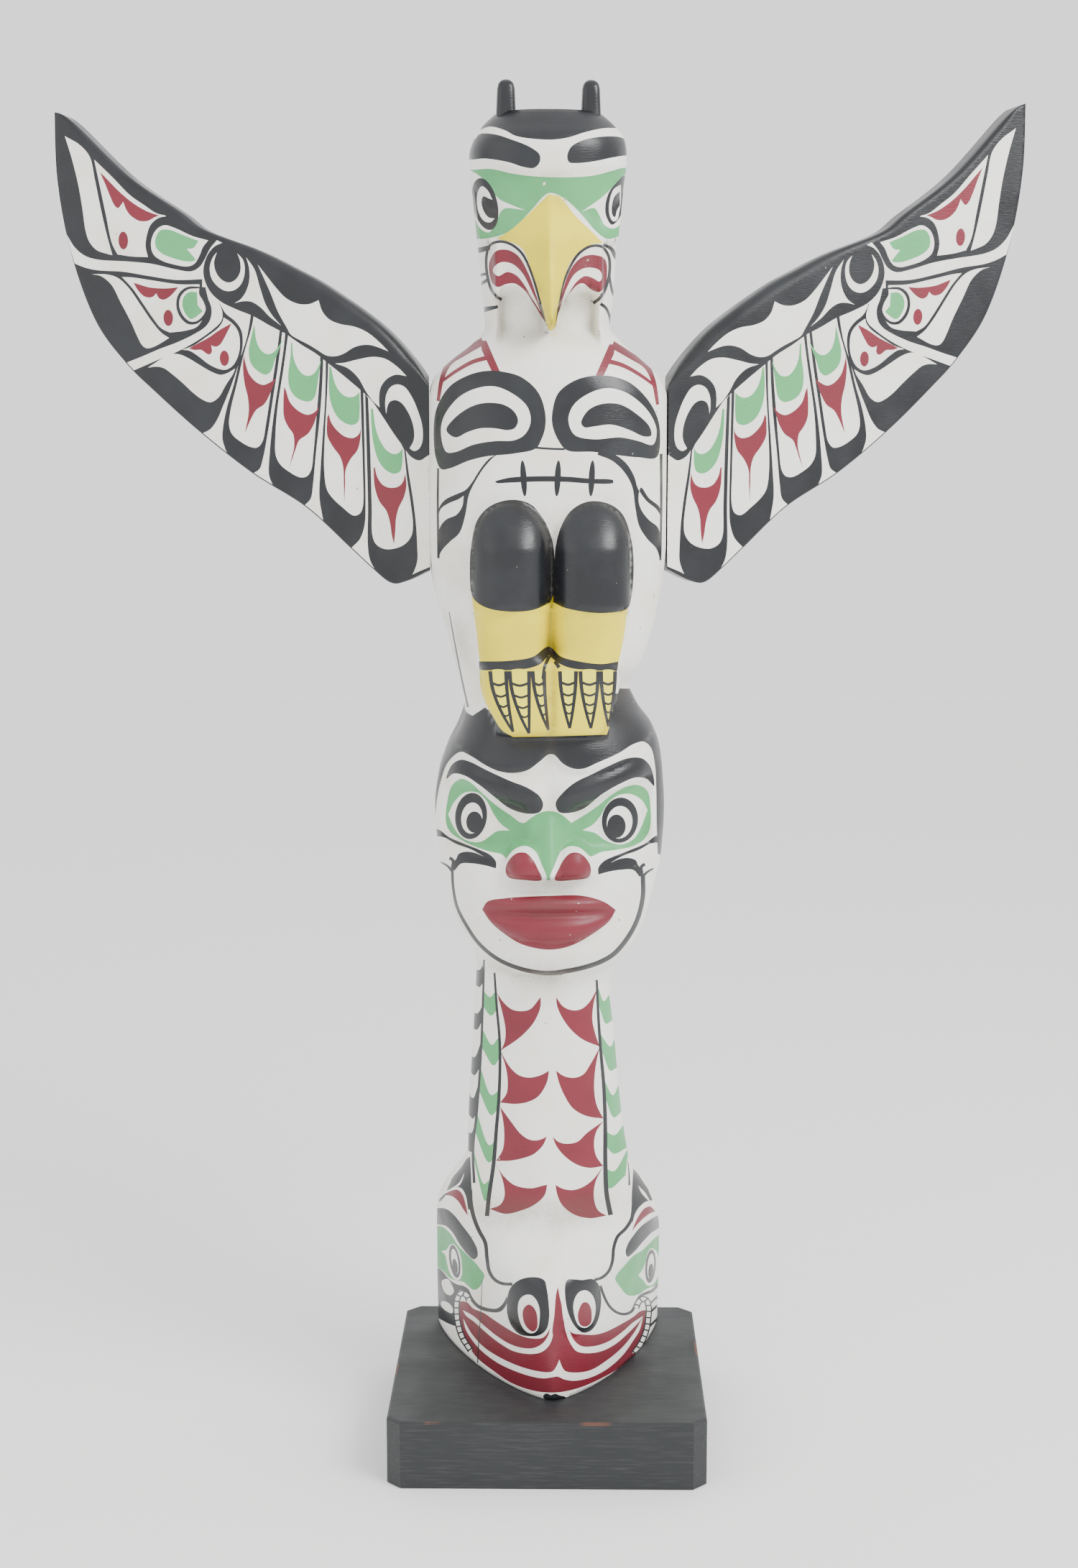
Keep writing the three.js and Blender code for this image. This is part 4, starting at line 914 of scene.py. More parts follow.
def brushed_paint(name, code, worn, chip, rough, chips):
    """Brushed enamel on carved cedar: streaks left by the brush, a hand-dulled sheen, painted shade and
    grime darkening the hollows and a few listed places, and small chips where another coat shows."""
    material, tree, shader, place = bare(name)
    stretch = add(tree, "ShaderNodeMapping", {},
                  {"Vector": (place, "Object"), "Scale": (260.0, 260.0, 1500.0)})
    brush = add(tree, "ShaderNodeTexNoise", {}, {"Vector": (stretch, 0), "Scale": 1.0, "Detail": 3.0})
    cloud = add(tree, "ShaderNodeTexNoise", {}, {"Vector": (place, "Object"), "Scale": 38.0, "Detail": 5.0})
    speck = add(tree, "ShaderNodeTexNoise", {}, {"Vector": (place, "Object"), "Scale": 620.0, "Detail": 2.0})
    # painted shade in the hollows of the carving and at a few listed places, with some real grime, as one
    # value at each point
    dirt = add(tree, "ShaderNodeAttribute", {"attribute_name": "dirt"}, {})
    # the coat yellows and thins in broad patches
    patch = add(tree, "ShaderNodeMapRange", {}, {"Value": (cloud, 0), "From Min": 0.42, "From Max": 0.68,
                                                 "To Min": 0.0, "To Max": 0.5})
    coat_colour = add(tree, "ShaderNodeMix", {"data_type": "RGBA"},
                      {0: (patch, 0), 6: linear(code), 7: linear(worn)})
    # painted shade and grime: darkest in the hollows, broken up by the cloud and by fine specks
    broken = add(tree, "ShaderNodeMath", {"operation": "MULTIPLY_ADD"},
                 {0: (cloud, 0), 1: 1.5, 2: -0.2})
    speckle = add(tree, "ShaderNodeMath", {"operation": "MULTIPLY_ADD"}, {0: (speck, 0), 1: 1.1, 2: 0.15})
    lying = add(tree, "ShaderNodeMath", {"operation": "MULTIPLY"}, {0: (dirt, "Fac"), 1: (broken, 0)})
    shade_grime_amount = add(tree, "ShaderNodeMath", {"operation": "MULTIPLY", "use_clamp": True},
                 {0: (lying, 0), 1: (speckle, 0)})
    shaded_and_grimed = add(tree, "ShaderNodeMix", {"data_type": "RGBA"},
                 {0: (shade_grime_amount, 0), 6: (coat_colour, 2), 7: linear("#5d5142")})
    # chips: rare, sharp-edged and small
    flake = add(tree, "ShaderNodeTexNoise", {}, {"Vector": (place, "Object"), "Scale": 210.0, "Detail": 4.0})
    rare = add(tree, "ShaderNodeMapRange", {},
               {"Value": (flake, 0), "From Min": chips, "From Max": chips + 0.012, "To Min": 0.0,
                "To Max": 0.85})
    final = add(tree, "ShaderNodeMix", {"data_type": "RGBA"},
                {0: (rare, 0), 6: (shaded_and_grimed, 2), 7: linear(chip)})
    tree.links.new(final.outputs[2], shader.inputs["Base Color"])
    dull = add(tree, "ShaderNodeMapRange", {}, {"Value": (cloud, 0), "From Min": 0.3, "From Max": 0.7,
                                                "To Min": rough - 0.08, "To Max": rough + 0.14})
    duller = add(tree, "ShaderNodeMath", {"operation": "MULTIPLY_ADD", "use_clamp": True},
                 {0: (shade_grime_amount, 0), 1: 0.4, 2: (dull, 0)})
    tree.links.new(duller.outputs[0], shader.inputs["Roughness"])
    relief = add(tree, "ShaderNodeMath", {"operation": "MULTIPLY_ADD"},
                 {0: (rare, 0), 1: -0.8, 2: (brush, 0)})
    bump = add(tree, "ShaderNodeBump", {}, {"Height": (relief, 0), "Strength": 0.35, "Distance": 0.0003})
    tree.links.new(bump.outputs[0], shader.inputs["Normal"])
    return material


# white: off-white enamel gone creamy in patches, fine dark nicks; gives the eye a dry, chalky sheen
# black: satin, glossier where handled, chips back to the pale ground
# green, maroon and both yellows: satin, deepening where the brush went twice
enamels = [brushed_paint("off_white_enamel_brushed", "#f7f6f0", "#e9e4d2", "#6d6458", 0.50, 0.735),
           brushed_paint("black_enamel_satin", "#17191d", "#26292d", "#b9b3a6", 0.30, 0.755),
           brushed_paint("leaf_green_enamel_brushed", "#57ab6b", "#4b9a5f", "#e4e2d6", 0.42, 0.75),
           brushed_paint("maroon_enamel_brushed", "#781c2c", "#651724", "#d8cfc4", 0.38, 0.75),
           brushed_paint("beak_yellow_enamel_brushed", "#efdc1f", "#d3bd1a", "#8a7a2a", 0.40, 0.74),
           brushed_paint("claw_yellow_enamel_bright", "#f7ec3c", "#e6d72c", "#8a7a2a", 0.40, 0.74)]


def scuffed_black():
    """Thin black paint on the softwood plinth: satin, with pale scuffs across the top and the edges
    rubbed back to reddish wood."""
    material, tree, shader, place = bare("plinth_black_paint_scuffed")
    cloud = add(tree, "ShaderNodeTexNoise", {}, {"Vector": (place, "Object"), "Scale": 24.0, "Detail": 6.0})
    stretch = add(tree, "ShaderNodeMapping", {}, {"Vector": (place, "Object"), "Scale": (60.0, 900.0, 900.0),
                                                  "Rotation": (0.0, 0.0, 0.35)})
    scuff = add(tree, "ShaderNodeTexNoise", {}, {"Vector": (stretch, 0), "Scale": 1.0, "Detail": 4.0})
    worn = add(tree, "ShaderNodeAttribute", {"attribute_name": "worn"}, {})
    pale = add(tree, "ShaderNodeMapRange", {}, {"Value": (scuff, 0), "From Min": 0.5, "From Max": 0.82,
                                                "To Min": 0.0, "To Max": 0.45})
    coat_colour = add(tree, "ShaderNodeMix", {"data_type": "RGBA"},
                      {0: (pale, 0), 6: linear("#1f2224"), 7: linear("#4a4a48")})
    rubbed = add(tree, "ShaderNodeMath", {"operation": "MULTIPLY"}, {0: (worn, "Fac"), 1: (cloud, 0)})
    bare_wood = add(tree, "ShaderNodeMapRange", {},
                    {"Value": (rubbed, 0), "From Min": 0.56, "From Max": 0.62, "To Min": 0.0, "To Max": 0.8})
    final = add(tree, "ShaderNodeMix", {"data_type": "RGBA"},
                {0: (bare_wood, 0), 6: (coat_colour, 2), 7: linear("#5f3a2c")})
    tree.links.new(final.outputs[2], shader.inputs["Base Color"])
    dull = add(tree, "ShaderNodeMapRange", {}, {"Value": (cloud, 0), "From Min": 0.3, "From Max": 0.7,
                                                "To Min": 0.42, "To Max": 0.62})
    tree.links.new(dull.outputs[0], shader.inputs["Roughness"])
    bump = add(tree, "ShaderNodeBump", {}, {"Height": (scuff, 0), "Strength": 0.3, "Distance": 0.0002})
    tree.links.new(bump.outputs[0], shader.inputs["Normal"])
    return material


def matt_floor():
    """Pale matt paper, which gives the eye a soft, even ground."""
    material, tree, shader, place = bare("pale_studio_paper")
    shader.inputs["Base Color"].default_value = linear("#fbfbfa")
    shader.inputs["Roughness"].default_value = 0.95
    return material


HORN = dict(centres=(-23.8, 22.2), base=11.4, top=9.2, depth=11.0, front=-17.0, foot=702.0, tip=729.0)


def horn_rings(centre):
    """An upright tapered stub, square with well rounded corners and a worn round top."""
    rings = []
    for z in [HORN["foot"], 708.0, 714.0, 720.0, 724.0, 726.5, 727.8, 728.6, 729.0]:
        share = (z - HORN["foot"]) / (HORN["tip"] - HORN["foot"])
        width = HORN["base"] + (HORN["top"] - HORN["base"]) * share
        close = max(0.0, (z - 723.5) / 5.5)
        shrink = math.sqrt(max(1.0 - close ** 2.6, 0.03))
        a = np.arange(28) * 2 * math.pi / 28
        reach = (np.abs(np.sin(a)) ** 3.6 + np.abs(np.cos(a)) ** 3.6) ** (-1 / 3.6)
        rings.append(np.stack([centre + width / 2 * shrink * np.sin(a) * reach,
                               HORN["front"] + HORN["depth"] / 2 * (1 - shrink * np.cos(a) * reach),
                               z + 0 * a], 1))
    return rings


def closed_rings(rings, first):
    """Points and faces of a closed form from level rings, numbered from first."""
    n = len(rings[0])
    faces = []
    for j in range(len(rings) - 1):
        for i in range(n):
            a, b = first + j * n + i, first + j * n + (i + 1) % n
            faces += [(a, b, b + n), (a, b + n, a + n)]
    hubs = first + n * len(rings)
    last = first + n * (len(rings) - 1)
    for i in range(n):
        faces.append((hubs, first + (i + 1) % n, first + i))
        faces.append((hubs + 1, last + i, last + (i + 1) % n))
    points = np.concatenate(rings + [rings[0].mean(0)[None], rings[-1].mean(0)[None]])
    return points, faces


def lid(points, edge, rise):
    """Closes the opening along edge with rings that draw in to the middle, rising by rise."""
    middle = points[edge].mean(0)
    rings, faces = [], []
    before = list(edge)
    total = len(points)
    for f in (0.85, 0.6, 0.3):
        ring = middle + (points[edge] - middle) * f
        ring[:, 2] += rise * (1 - f * f)
        rings.append(ring)
        now = [total + i for i in range(len(edge))]
        total += len(edge)
        for i in range(len(edge) - 1):
            faces += [(before[i], before[i + 1], now[i + 1]), (before[i], now[i + 1], now[i])]
        before = now
    for i in range(len(edge) - 1):
        faces.append((before[i], before[i + 1], total))
    rings.append(middle[None] + [0, 0, rise])
    return np.concatenate([points] + rings), faces


field = pole_field()
opened = [(name, outline * np.array([ROUND, 1.0])) for name, outline in coats]
opened = [(name, np.clip(o, [-math.pi * ROUND, 0.0], [math.pi * ROUND, TOP])) for name, o in opened]
verts, faces, colours = cut_and_colour(field, opened, CLEAR)
points = np.stack(pole_surface(verts[:, 0] / ROUND, verts[:, 1]), 1)
faces, colours = [tuple(f) for f in faces], list(colours)
for z, rise, colour in ((TOP, 1.5, 1), (0.0, 0.0, 0)):
    edge = np.nonzero(np.abs(verts[:, 1] - z) < 1e-6)[0]
    edge = edge[np.argsort(verts[edge, 0])]
    points, more = lid(points, edge, rise)
    faces += more if z > 0 else [f[::-1] for f in more]
    colours += [colour] * len(more)
for centre in HORN["centres"]:
    more_points, more = closed_rings(horn_rings(centre), len(points))
    points = np.concatenate([points, more_points])
    faces += more
    colours += [1] * len(more)
pole = to_mesh("carved_pole", turned(*points.T), faces, colours, enamels)
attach(pole, "root")
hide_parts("pole")

# ---------------------------------------------------------------- the wings
# the board's outline, as distance out from the body along the board, and height
LEADING = [(2.6, 567), (12, 581), (30, 600), (59, 620.5), (78, 631), (100, 641.5), (128, 652), (142, 662),
           (171.5, 682), (202.5, 711.5), (212, 716.5)]
TRAILING = [(212, 716.5), (211.5, 680), (205, 640), (192, 603), (175, 579.5), (158, 563), (133, 541),
            (103, 518), (73, 499.5), (48, 477), (36, 466), (25, 457.5), (16, 458.5), (2.6, 465)]
WING = dict(thick=19.0, sweep=math.radians(10), front=-4.0, start=64.0, seat=66.3, ease=0.8,
            shoulder=5.0, tip=2.0, lift=8.0, reach=0.99, back=7.0, clear=3.0)

wing_coats = []


def wing_coat(colour, outline):
    """One coat of paint on the wings, in the wing's own outline measures."""
    wing_coats.append((colour, np.asarray(outline)))


def feather(outer, inner, green, red):
    """A black-edged feather, white inside, with a green crescent over a red trident."""
    for colour, outline in (("black", outer), ("white", inner), ("green", green), ("red", red)):
        wing_coat(colour, spline(outline))


def paint_wing():
    # root strip, its black edge, and the black shoulder down to the line that the feathers hang from
    wing_coat("black", spline([(-6, 532, 1), (2.3, 531, 1), (1.9, 510), (1.6, 490), (2.3, 473),
        (2.6, 466.5, 1), (12, 462.4), (16, 459.6, 1), (14, 455, 1), (-6, 460, 1)]))
    feather([(15.8, 532, 1), (14, 518), (11.8, 504), (10.2, 490), (9.6, 478), (9.6, 470), (11.5, 464),
        (15, 458, 1), (26, 452, 1), (33, 463.5), (36.5, 470), (37.7, 478), (37.4, 500), (37.8, 530),
        (38.4, 562, 1)], [(16.6, 531, 1), (15.2, 516), (13.2, 502), (12, 490), (12.8, 484), (16, 479.6),
        (21, 477), (28, 476.3), (33, 479), (35, 484), (35.2, 500), (35.7, 530), (36.7, 562, 1),
        (25, 548, 1)], [(17.6, 532.3, 1), (19, 530), (22, 528.8), (26, 530.5), (30, 536), (32.5, 543),
        (34, 554, 1), (35.2, 553.5, 1), (35, 545), (34, 535), (31, 525), (27, 520), (22.5, 518),
        (19, 519.3), (17.8, 523), (17.5, 528)], [(16, 518.5, 1), (17.5, 513.5), (20, 511), (25, 510.3),
        (29, 512), (32, 516.5), (33.2, 521.5, 1), (34, 521.5, 1), (33.5, 511), (31, 503), (27, 497.5),
        (25, 491), (24, 484), (22.8, 478.8, 1), (22, 486), (21.5, 493), (20, 499), (17, 505),
        (15.5, 511)])
    feather([(39.3, 566, 1), (38.9, 530), (38.7, 500), (39.3, 490), (42, 482), (47, 476.8, 1),
        (55, 480, 1), (63, 491.8, 1), (65, 505), (64.2, 520), (62.6, 540), (61, 560), (60.3, 584, 1)],
        [(41, 566, 1), (40.6, 545), (40.1, 520), (40.3, 500), (42, 496), (45.5, 494.8), (52, 499.5),
        (57, 504), (60.5, 509), (62, 520), (61, 545), (59.6, 565), (58.8, 581, 1), (45, 575, 1)],
        [(41.5, 563, 1), (43.5, 561), (47, 560), (51, 561.5), (55, 567), (57.5, 577, 1), (58.3, 577, 1),
        (58.8, 566), (58, 558), (55, 550.5), (51, 546.5), (46, 544.8), (42.5, 546.5), (41.5, 552)],
        [(40.8, 543.5, 1), (42, 540), (45, 537.8), (50, 538.5), (55, 542.5), (58, 547), (59, 551, 1),
        (60, 549, 1), (60, 539), (57, 533), (53, 527.5), (51.3, 522), (51, 512), (50.8, 501, 1),
        (50.2, 512), (49.8, 520), (47, 526), (43, 531), (41.3, 537)])
    feather([(61.6, 586, 1), (62.3, 570), (64, 550), (66.5, 530), (68.5, 512), (70, 504), (74, 500, 1),
        (82, 500, 1), (91.5, 511.5, 1), (93.6, 517), (93, 530), (90.5, 550), (87, 570), (84, 588),
        (82.7, 600, 1)], [(63.3, 587, 1), (64, 572), (66, 550), (68, 530), (69.5, 520), (72, 516.5),
        (76, 516), (82, 519), (87, 523), (89.5, 528), (89.5, 540), (88, 555), (84.5, 575), (81, 597, 1),
        (70, 595, 1)], [(63, 580, 1), (66, 574.5), (69, 572), (73, 572.5), (76.5, 576.5), (78.6, 582),
        (79.2, 590, 1), (80, 590, 1), (80.3, 583), (81.8, 572), (81, 565), (78, 560.5), (74, 558.3),
        (70, 557.8), (67, 560), (65.5, 565.5), (64.3, 573)], [(64.3, 555, 1), (67, 552), (71, 550.5),
        (76, 552.5), (81, 557.5), (83.2, 564), (84.2, 566, 1), (84.8, 557), (84.5, 549), (82, 543.5),
        (79.5, 540), (79, 533), (80.5, 527), (82.2, 520.5, 1), (80, 526.5), (78, 532), (76, 536.5),
        (71, 540), (67.5, 545.5), (65.8, 550.5)])
    feather([(84.3, 599, 1), (87, 580), (90.5, 560), (94, 540), (97, 526), (99, 520.5), (103, 518, 1),
        (112, 518, 1), (118.5, 531.5, 1), (120, 537), (119.5, 544), (117, 555), (113, 567), (109.5, 580),
        (105, 593), (102, 608, 1)], [(85.8, 600, 1), (88.5, 582), (92, 562), (95, 545), (97, 536),
        (100, 532.5), (104, 532.8), (110, 536), (114.5, 540), (116, 545), (115, 553), (111, 568),
        (106.5, 585), (102, 599), (100.4, 607, 1), (90, 606, 1)], [(84.3, 592.5, 1), (87, 588),
        (90.5, 584.5), (93.5, 583.8), (97, 586), (99.5, 591), (100.5, 600.5, 1), (102.5, 593), (104, 586),
        (103, 579), (99, 574.5), (94.5, 572.5), (91.5, 574.5), (89, 581)], [(89, 570.5, 1), (92, 568.5),
        (96, 567), (100, 568.5), (104, 573), (106, 579), (106.8, 583.5, 1), (107.5, 578), (106.8, 568),
        (105, 560), (104.7, 552), (107.2, 540, 1), (103, 549), (100, 553.5), (96, 556), (92.5, 561.5),
        (90.3, 567)])
    # the lowest long feather
    wing_coat("black", spline([(120.5, 613, 1), (117, 606.5), (111.5, 602), (108, 597), (107.3, 590),
        (108.5, 583), (111.5, 574), (115, 565), (119, 556), (123, 547.5), (127, 542.5), (131, 540.5, 1),
        (140, 540, 1), (175, 570, 1), (171, 575, 1), (160, 579.5), (145, 585.5), (135, 590.5), (125, 597),
        (119.5, 602), (118.6, 606)]))
    wing_coat("white", spline([(118, 604, 1), (113.5, 601), (110, 596.5), (109, 590), (110, 583.5),
        (113, 578), (117, 575.5), (121, 575.8), (127, 578.5), (133, 583), (138, 586), (142, 586.5, 1),
        (136, 588.5), (128, 593.5), (121, 598.5), (118.5, 602)]))
    wing_coat("white", spline([(112, 576, 1), (116.5, 573.5), (120.5, 572.6), (126, 574.5), (133, 578.5),
        (139, 582), (144, 584), (149, 584), (155, 581), (162, 576.8, 1), (157, 577.3), (153, 576.5),
        (148, 573), (142, 568), (136, 562.5), (131, 559), (126.5, 557.5), (122, 560), (117.5, 567),
        (113, 573.5)]))
    wing_coat("red", spline([(113.5, 600.8, 1), (120, 597.5), (127, 593), (133, 590), (138.3, 587.2, 1),
        (135, 586.3), (131, 586.3), (128.5, 584.5), (126.3, 583.8), (125, 585.5), (125.4, 588.8, 1),
        (123, 588), (120.5, 589), (118, 592.5), (115.5, 597)]))
    wing_coat("red", oval(118, 581.7, 2.7, 4.3))
    # the middle long feather
    wing_coat("black", spline([(129.7, 625, 1), (145, 624.8), (160, 627), (175, 629.5), (190, 630.5),
        (197, 632), (204, 634.8, 1), (215, 630, 1), (200, 590, 1), (178, 574, 1), (174.5, 579.5, 1),
        (165, 583), (155, 587), (145, 590.5), (135, 595), (128.5, 599), (125.6, 603), (124.8, 609),
        (127, 615), (129.7, 620)]))
    wing_coat("white", spline([(131.5, 622.2, 1), (143, 622.3), (158, 624.5), (170, 626.3),
        (175.8, 626.6, 1), (170, 620.5), (164, 612), (158.5, 604), (154, 598.5), (149, 596, 1), (140, 597),
        (133.5, 599), (130, 603, 1)]))
    wing_coat("black", spline([(128, 620.6, 1), (138.6, 620.8), (143.6, 617), (145, 610.5), (143, 604.5),
        (138.5, 600.5), (133.5, 600.6), (129.2, 603.6), (126, 608)]))
    wing_coat("white", spline([(131.6, 620, 1), (138.3, 619.3), (142.3, 615.5), (143.2, 610.5),
        (141.3, 605.5), (137.5, 602.1), (133.8, 602.1), (130.4, 604.5), (128.2, 608.5), (129.5, 613),
        (131.8, 617)]))
    wing_coat("green", spline([(133, 618, 1), (137.5, 618), (140.5, 615.5), (141.5, 611), (140, 606.5),
        (137, 603.3), (134.5, 604), (129.8, 607.5, 1), (132.7, 610.8, 1), (132.8, 614)]))
    wing_coat("red", spline([(143.5, 620.8, 1), (150, 620.2), (160, 620.8), (166, 622.5),
        (169.3, 623.5, 1), (167, 619.5), (163.5, 616), (160, 615.2), (158, 615.8), (156.3, 617.5, 1),
        (155, 615), (152.5, 613.9), (149.5, 615), (146.5, 617.5)]))
    wing_coat("red", oval(149.7, 604, 2.8, 4.5))
    wing_coat("white", spline([(193, 628.3, 1), (188, 627.3), (182, 622.5), (177, 613), (171, 601.5),
        (167.5, 593.5), (165, 589), (162.5, 587.4), (158, 588.4), (149.5, 593, 1), (154, 596),
        (159.5, 602.5), (166, 612), (172, 620.5), (178, 626), (184, 628)]))
    # the topmost long feather and the tip
    wing_coat("black", spline([(121, 646, 1), (125, 641.5), (128, 636), (131, 631.8), (136, 629.3),
        (145, 630.5), (158, 633.5), (172, 635), (190, 636.3), (197, 638.5), (202.5, 643), (207, 650, 1),
        (225, 690, 1), (225, 735, 1), (195, 735, 1), (120, 670, 1)]))
    wing_coat("white", spline([(126, 646, 1), (135, 648.5), (145, 653), (151, 654.5), (156, 651.5),
        (158.6, 645), (157.5, 639), (153, 635.5), (145, 633), (138, 632), (134, 633.5), (131, 638),
        (129, 642.5)]))
    wing_coat("green", spline([(131.5, 645.8, 1), (140, 649), (148, 652), (153, 651.8), (155.8, 648),
        (156, 643), (153, 639.5), (146, 636.5), (139, 634.8), (135, 634.8), (133.2, 635.6, 1), (136, 639),
        (138.3, 641.5, 1), (134.5, 642)]))
    wing_coat("white", spline([(148.5, 659.5, 1), (154, 658.5), (158.5, 655), (161, 649), (161.8, 643),
        (160.6, 637.3, 1), (170, 637.8), (178, 639, 1), (181, 645), (184, 660), (187.5, 678),
        (190, 690.5, 1), (180, 681), (170, 671), (162, 665.5), (155, 661)]))
    wing_coat("red", spline([(153.5, 659.8, 1), (160, 662), (168, 666.5), (176, 673), (182, 679),
        (187, 684, 1), (184, 677), (181, 669.5), (179, 665.5), (177, 664), (175.5, 665.5), (174, 667.5, 1),
        (172.5, 663.5), (170, 660), (165, 657), (160, 657), (156, 659)]))
    wing_coat("red", oval(174.5, 646.5, 2.8, 4.9))
    wing_coat("white", spline([(206.5, 703.5, 1), (203, 692), (199.5, 677), (197.5, 664), (196, 652),
        (194, 646), (190, 641.5), (184.5, 639.5), (181, 638.6, 1), (184, 650), (187, 664), (190, 680),
        (192.5, 692), (198, 698.5)]))
    # the black shoulder with the joint's ring, over the tops of the feathers
    wing_coat("black", spline([(-6, 529, 1), (2, 528.5), (8, 525.3), (13, 527.5), (16.5, 532, 1),
        (22, 539.5), (30, 551.5), (35, 558.5), (41, 564), (50, 571.5), (58, 577.8), (66, 584), (74, 588.8),
        (83, 595, 1), (92, 599.5), (101, 604.5), (111, 608.5), (120, 613), (126, 619), (129, 627),
        (128.6, 633), (126, 639), (122, 643), (118, 644.6, 1), (124, 647.3), (135, 650.5), (150, 659.5, 1),
        (190, 725, 1), (-6, 700, 1)]))
    wing_coat("white", spline([(25, 585, 1), (30, 590), (37, 595.5), (44, 598.5), (52, 600), (58, 602.5),
        (62, 607), (64, 613, 1), (69, 611), (75, 611), (82, 614), (88, 620), (94, 627.5), (98, 632.5, 1),
        (95, 626), (91, 617), (87, 607), (82, 598), (80, 594.5), (75, 591.5), (70, 589), (65, 586),
        (60, 583), (55, 582.5), (50, 584), (45, 587), (40, 588.5), (35, 588.5), (30, 587)]))
    wing_coat("white", spline([(15, 571.5, 1), (20, 576.5), (27, 581), (34, 582), (43, 580.5), (50, 578.9),
        (55, 578.5, 1), (48, 576), (42, 570.5), (38, 563.5), (34, 558), (30.3, 554.5, 1), (30.5, 560),
        (29.5, 565.5), (26, 570), (21, 572.3)]))
    wing_coat("white", spline([(6.3, 536), (6.3, 544), (8.5, 552), (12, 560), (16, 565.5), (20, 567),
        (24, 565.5), (26.5, 561), (27, 555), (26.5, 551, 1), (26, 554.5), (24.5, 557.5), (21.5, 558.5),
        (18, 557), (14, 551.5), (11.5, 545), (10.8, 539), (11.5, 535.5), (13.5, 532, 1), (11, 530.5),
        (8, 532)]))
    wing_coat("white", spline([(104.5, 636.5, 1), (100, 630), (97, 620), (94, 611), (90, 604.5),
        (85.5, 599.5, 1), (92, 604.5), (97, 609.5), (102, 612.5), (107, 612.8), (111.5, 611.8, 1),
        (108, 614), (105, 618), (103, 624), (103, 631)]))
    wing_coat("white", spline([(109.5, 638.8, 1), (106.3, 635), (105.5, 629), (107.5, 622.5), (111.5, 619),
        (116.5, 618.5), (121, 621), (124.5, 625.5), (125.3, 631.5), (123.6, 636.5), (121.2, 639.5, 1),
        (122.9, 634), (121.8, 628.5), (118.5, 624.4), (114.5, 623), (110.5, 624.8), (108, 629),
        (108, 634.5)]))


paint_wing()


def catmull(points, count):
    """Points evenly through a plain spline with its ends held."""
    p = np.array(points, float)
    out = []
    for t in np.linspace(0, len(p) - 1, count + 1):
        i = min(int(t), len(p) - 2)
        s = t - i
        a, b, c, d = p[max(i - 1, 0)], p[i], p[i + 1], p[min(i + 2, len(p) - 1)]
        m0, m1 = (c - a) / 2, (d - b) / 2
        out.append((2 * b - 2 * c + m0 + m1) * s ** 3 + (-3 * b + 3 * c - 2 * m0 - m1) * s * s + m0 * s + b)
    return np.array(out)


def wing_rings(lift, reach):
    """The board's outline, and the same drawn in to where the flat front begins."""
    lead, trail = catmull(LEADING, 190), catmull(TRAILING, 250)[1:]
    outer = np.concatenate([lead, trail])
    raised = np.array([reach, 1.0]) * outer
    raised[:, 1] += lift * np.clip((outer[:, 0] - 100) / 112, 0, None) ** 2
    span = outer[:, 0]
    bevel = np.full(len(outer), WING["ease"])
    n = len(lead)
    bevel[:n] += (smooth(0, 15, span[:n]) * smooth(212, 195, span[:n])
                  * (WING["tip"] + (WING["shoulder"] - WING["tip"]) * smooth(120, 60, span[:n])))
    way = np.roll(raised, -1, 0) - np.roll(raised, 1, 0)
    inward = np.stack([way[:, 1], -way[:, 0]], 1) / np.linalg.norm(way, axis=1)[:, None]
    inward[0], inward[-1] = (0, -1), (0, 1)
    tip = LEADING[-1][0] * reach
    inner = raised + inward * (bevel * smooth(tip - 1, tip - 12, raised[:, 0]))[:, None]
    for ring in (raised, inner):
        ring[0, 0] = ring[-1, 0] = 0.0
    return raised, inner, bevel


def on_board(side, span, z, depth):
    """A place on the wing board; short of the seat it slides along the board to the body's flat."""
    x = WING["start"] + span * math.cos(WING["sweep"]) - depth * math.sin(WING["sweep"])
    y = WING["front"] + span * math.sin(WING["sweep"]) + depth * math.cos(WING["sweep"])
    short = np.clip(WING["seat"] - x, 0.0, None)
    return np.stack([side * (x + short), y + short * math.tan(WING["sweep"]), z], -1)


def border(faces):
    """The one closed line of edges that belong to a single triangle, in order."""
    edges = {}
    for a, b, c in faces:
        for e in ((a, b), (b, c), (c, a)):
            edges[e] = True
    follow = {a: b for a, b in edges if (b, a) not in edges}
    start = next(iter(follow))
    line, at = [start], follow[start]
    while at != start:
        line.append(at)
        at = follow[at]
    return line


def lift_motif(points, lift, reach):
    """A painted outline carried to the other wing, whose tip stands a little higher."""
    points = np.array(points, float)
    z = points[:, 1] + lift * np.clip((points[:, 0] - 100) / 112, 0, None) ** 2
    return np.stack([points[:, 0] * reach, z], 1)


def place_along(ring, points):
    """Where along a closed ring each point lies: the number of the corner before it, and a share."""
    way = np.roll(ring, -1, 0) - ring
    found = []
    for p in points:
        share = np.clip(((p - ring) * way).sum(1) / np.maximum((way ** 2).sum(1), 1e-12), 0, 1)
        nearest = int(np.argmin(((ring + way * share[:, None] - p) ** 2).sum(1)))
        found.append(nearest + share[nearest])
    return np.array(found)


def read_along(ring_values, where):
    """Values of a closed ring's corners, read at the places in between."""
    return np.interp(where, np.arange(len(ring_values) + 1), np.append(ring_values, ring_values[:1]))


def wing_field(ring):
    """Staggered rows of points inside the front's outline."""
    low, high = ring.min(0), ring.max(0)
    rows = np.arange(low[1] + 0.7, high[1], FINE * 0.9)
    field = np.array([(x + 0.5 * FINE * (row % 2), z) for row, z in enumerate(rows)
                      for x in np.arange(low[0] + 0.7, high[0], FINE)])
    return field[inside(ring, field)]


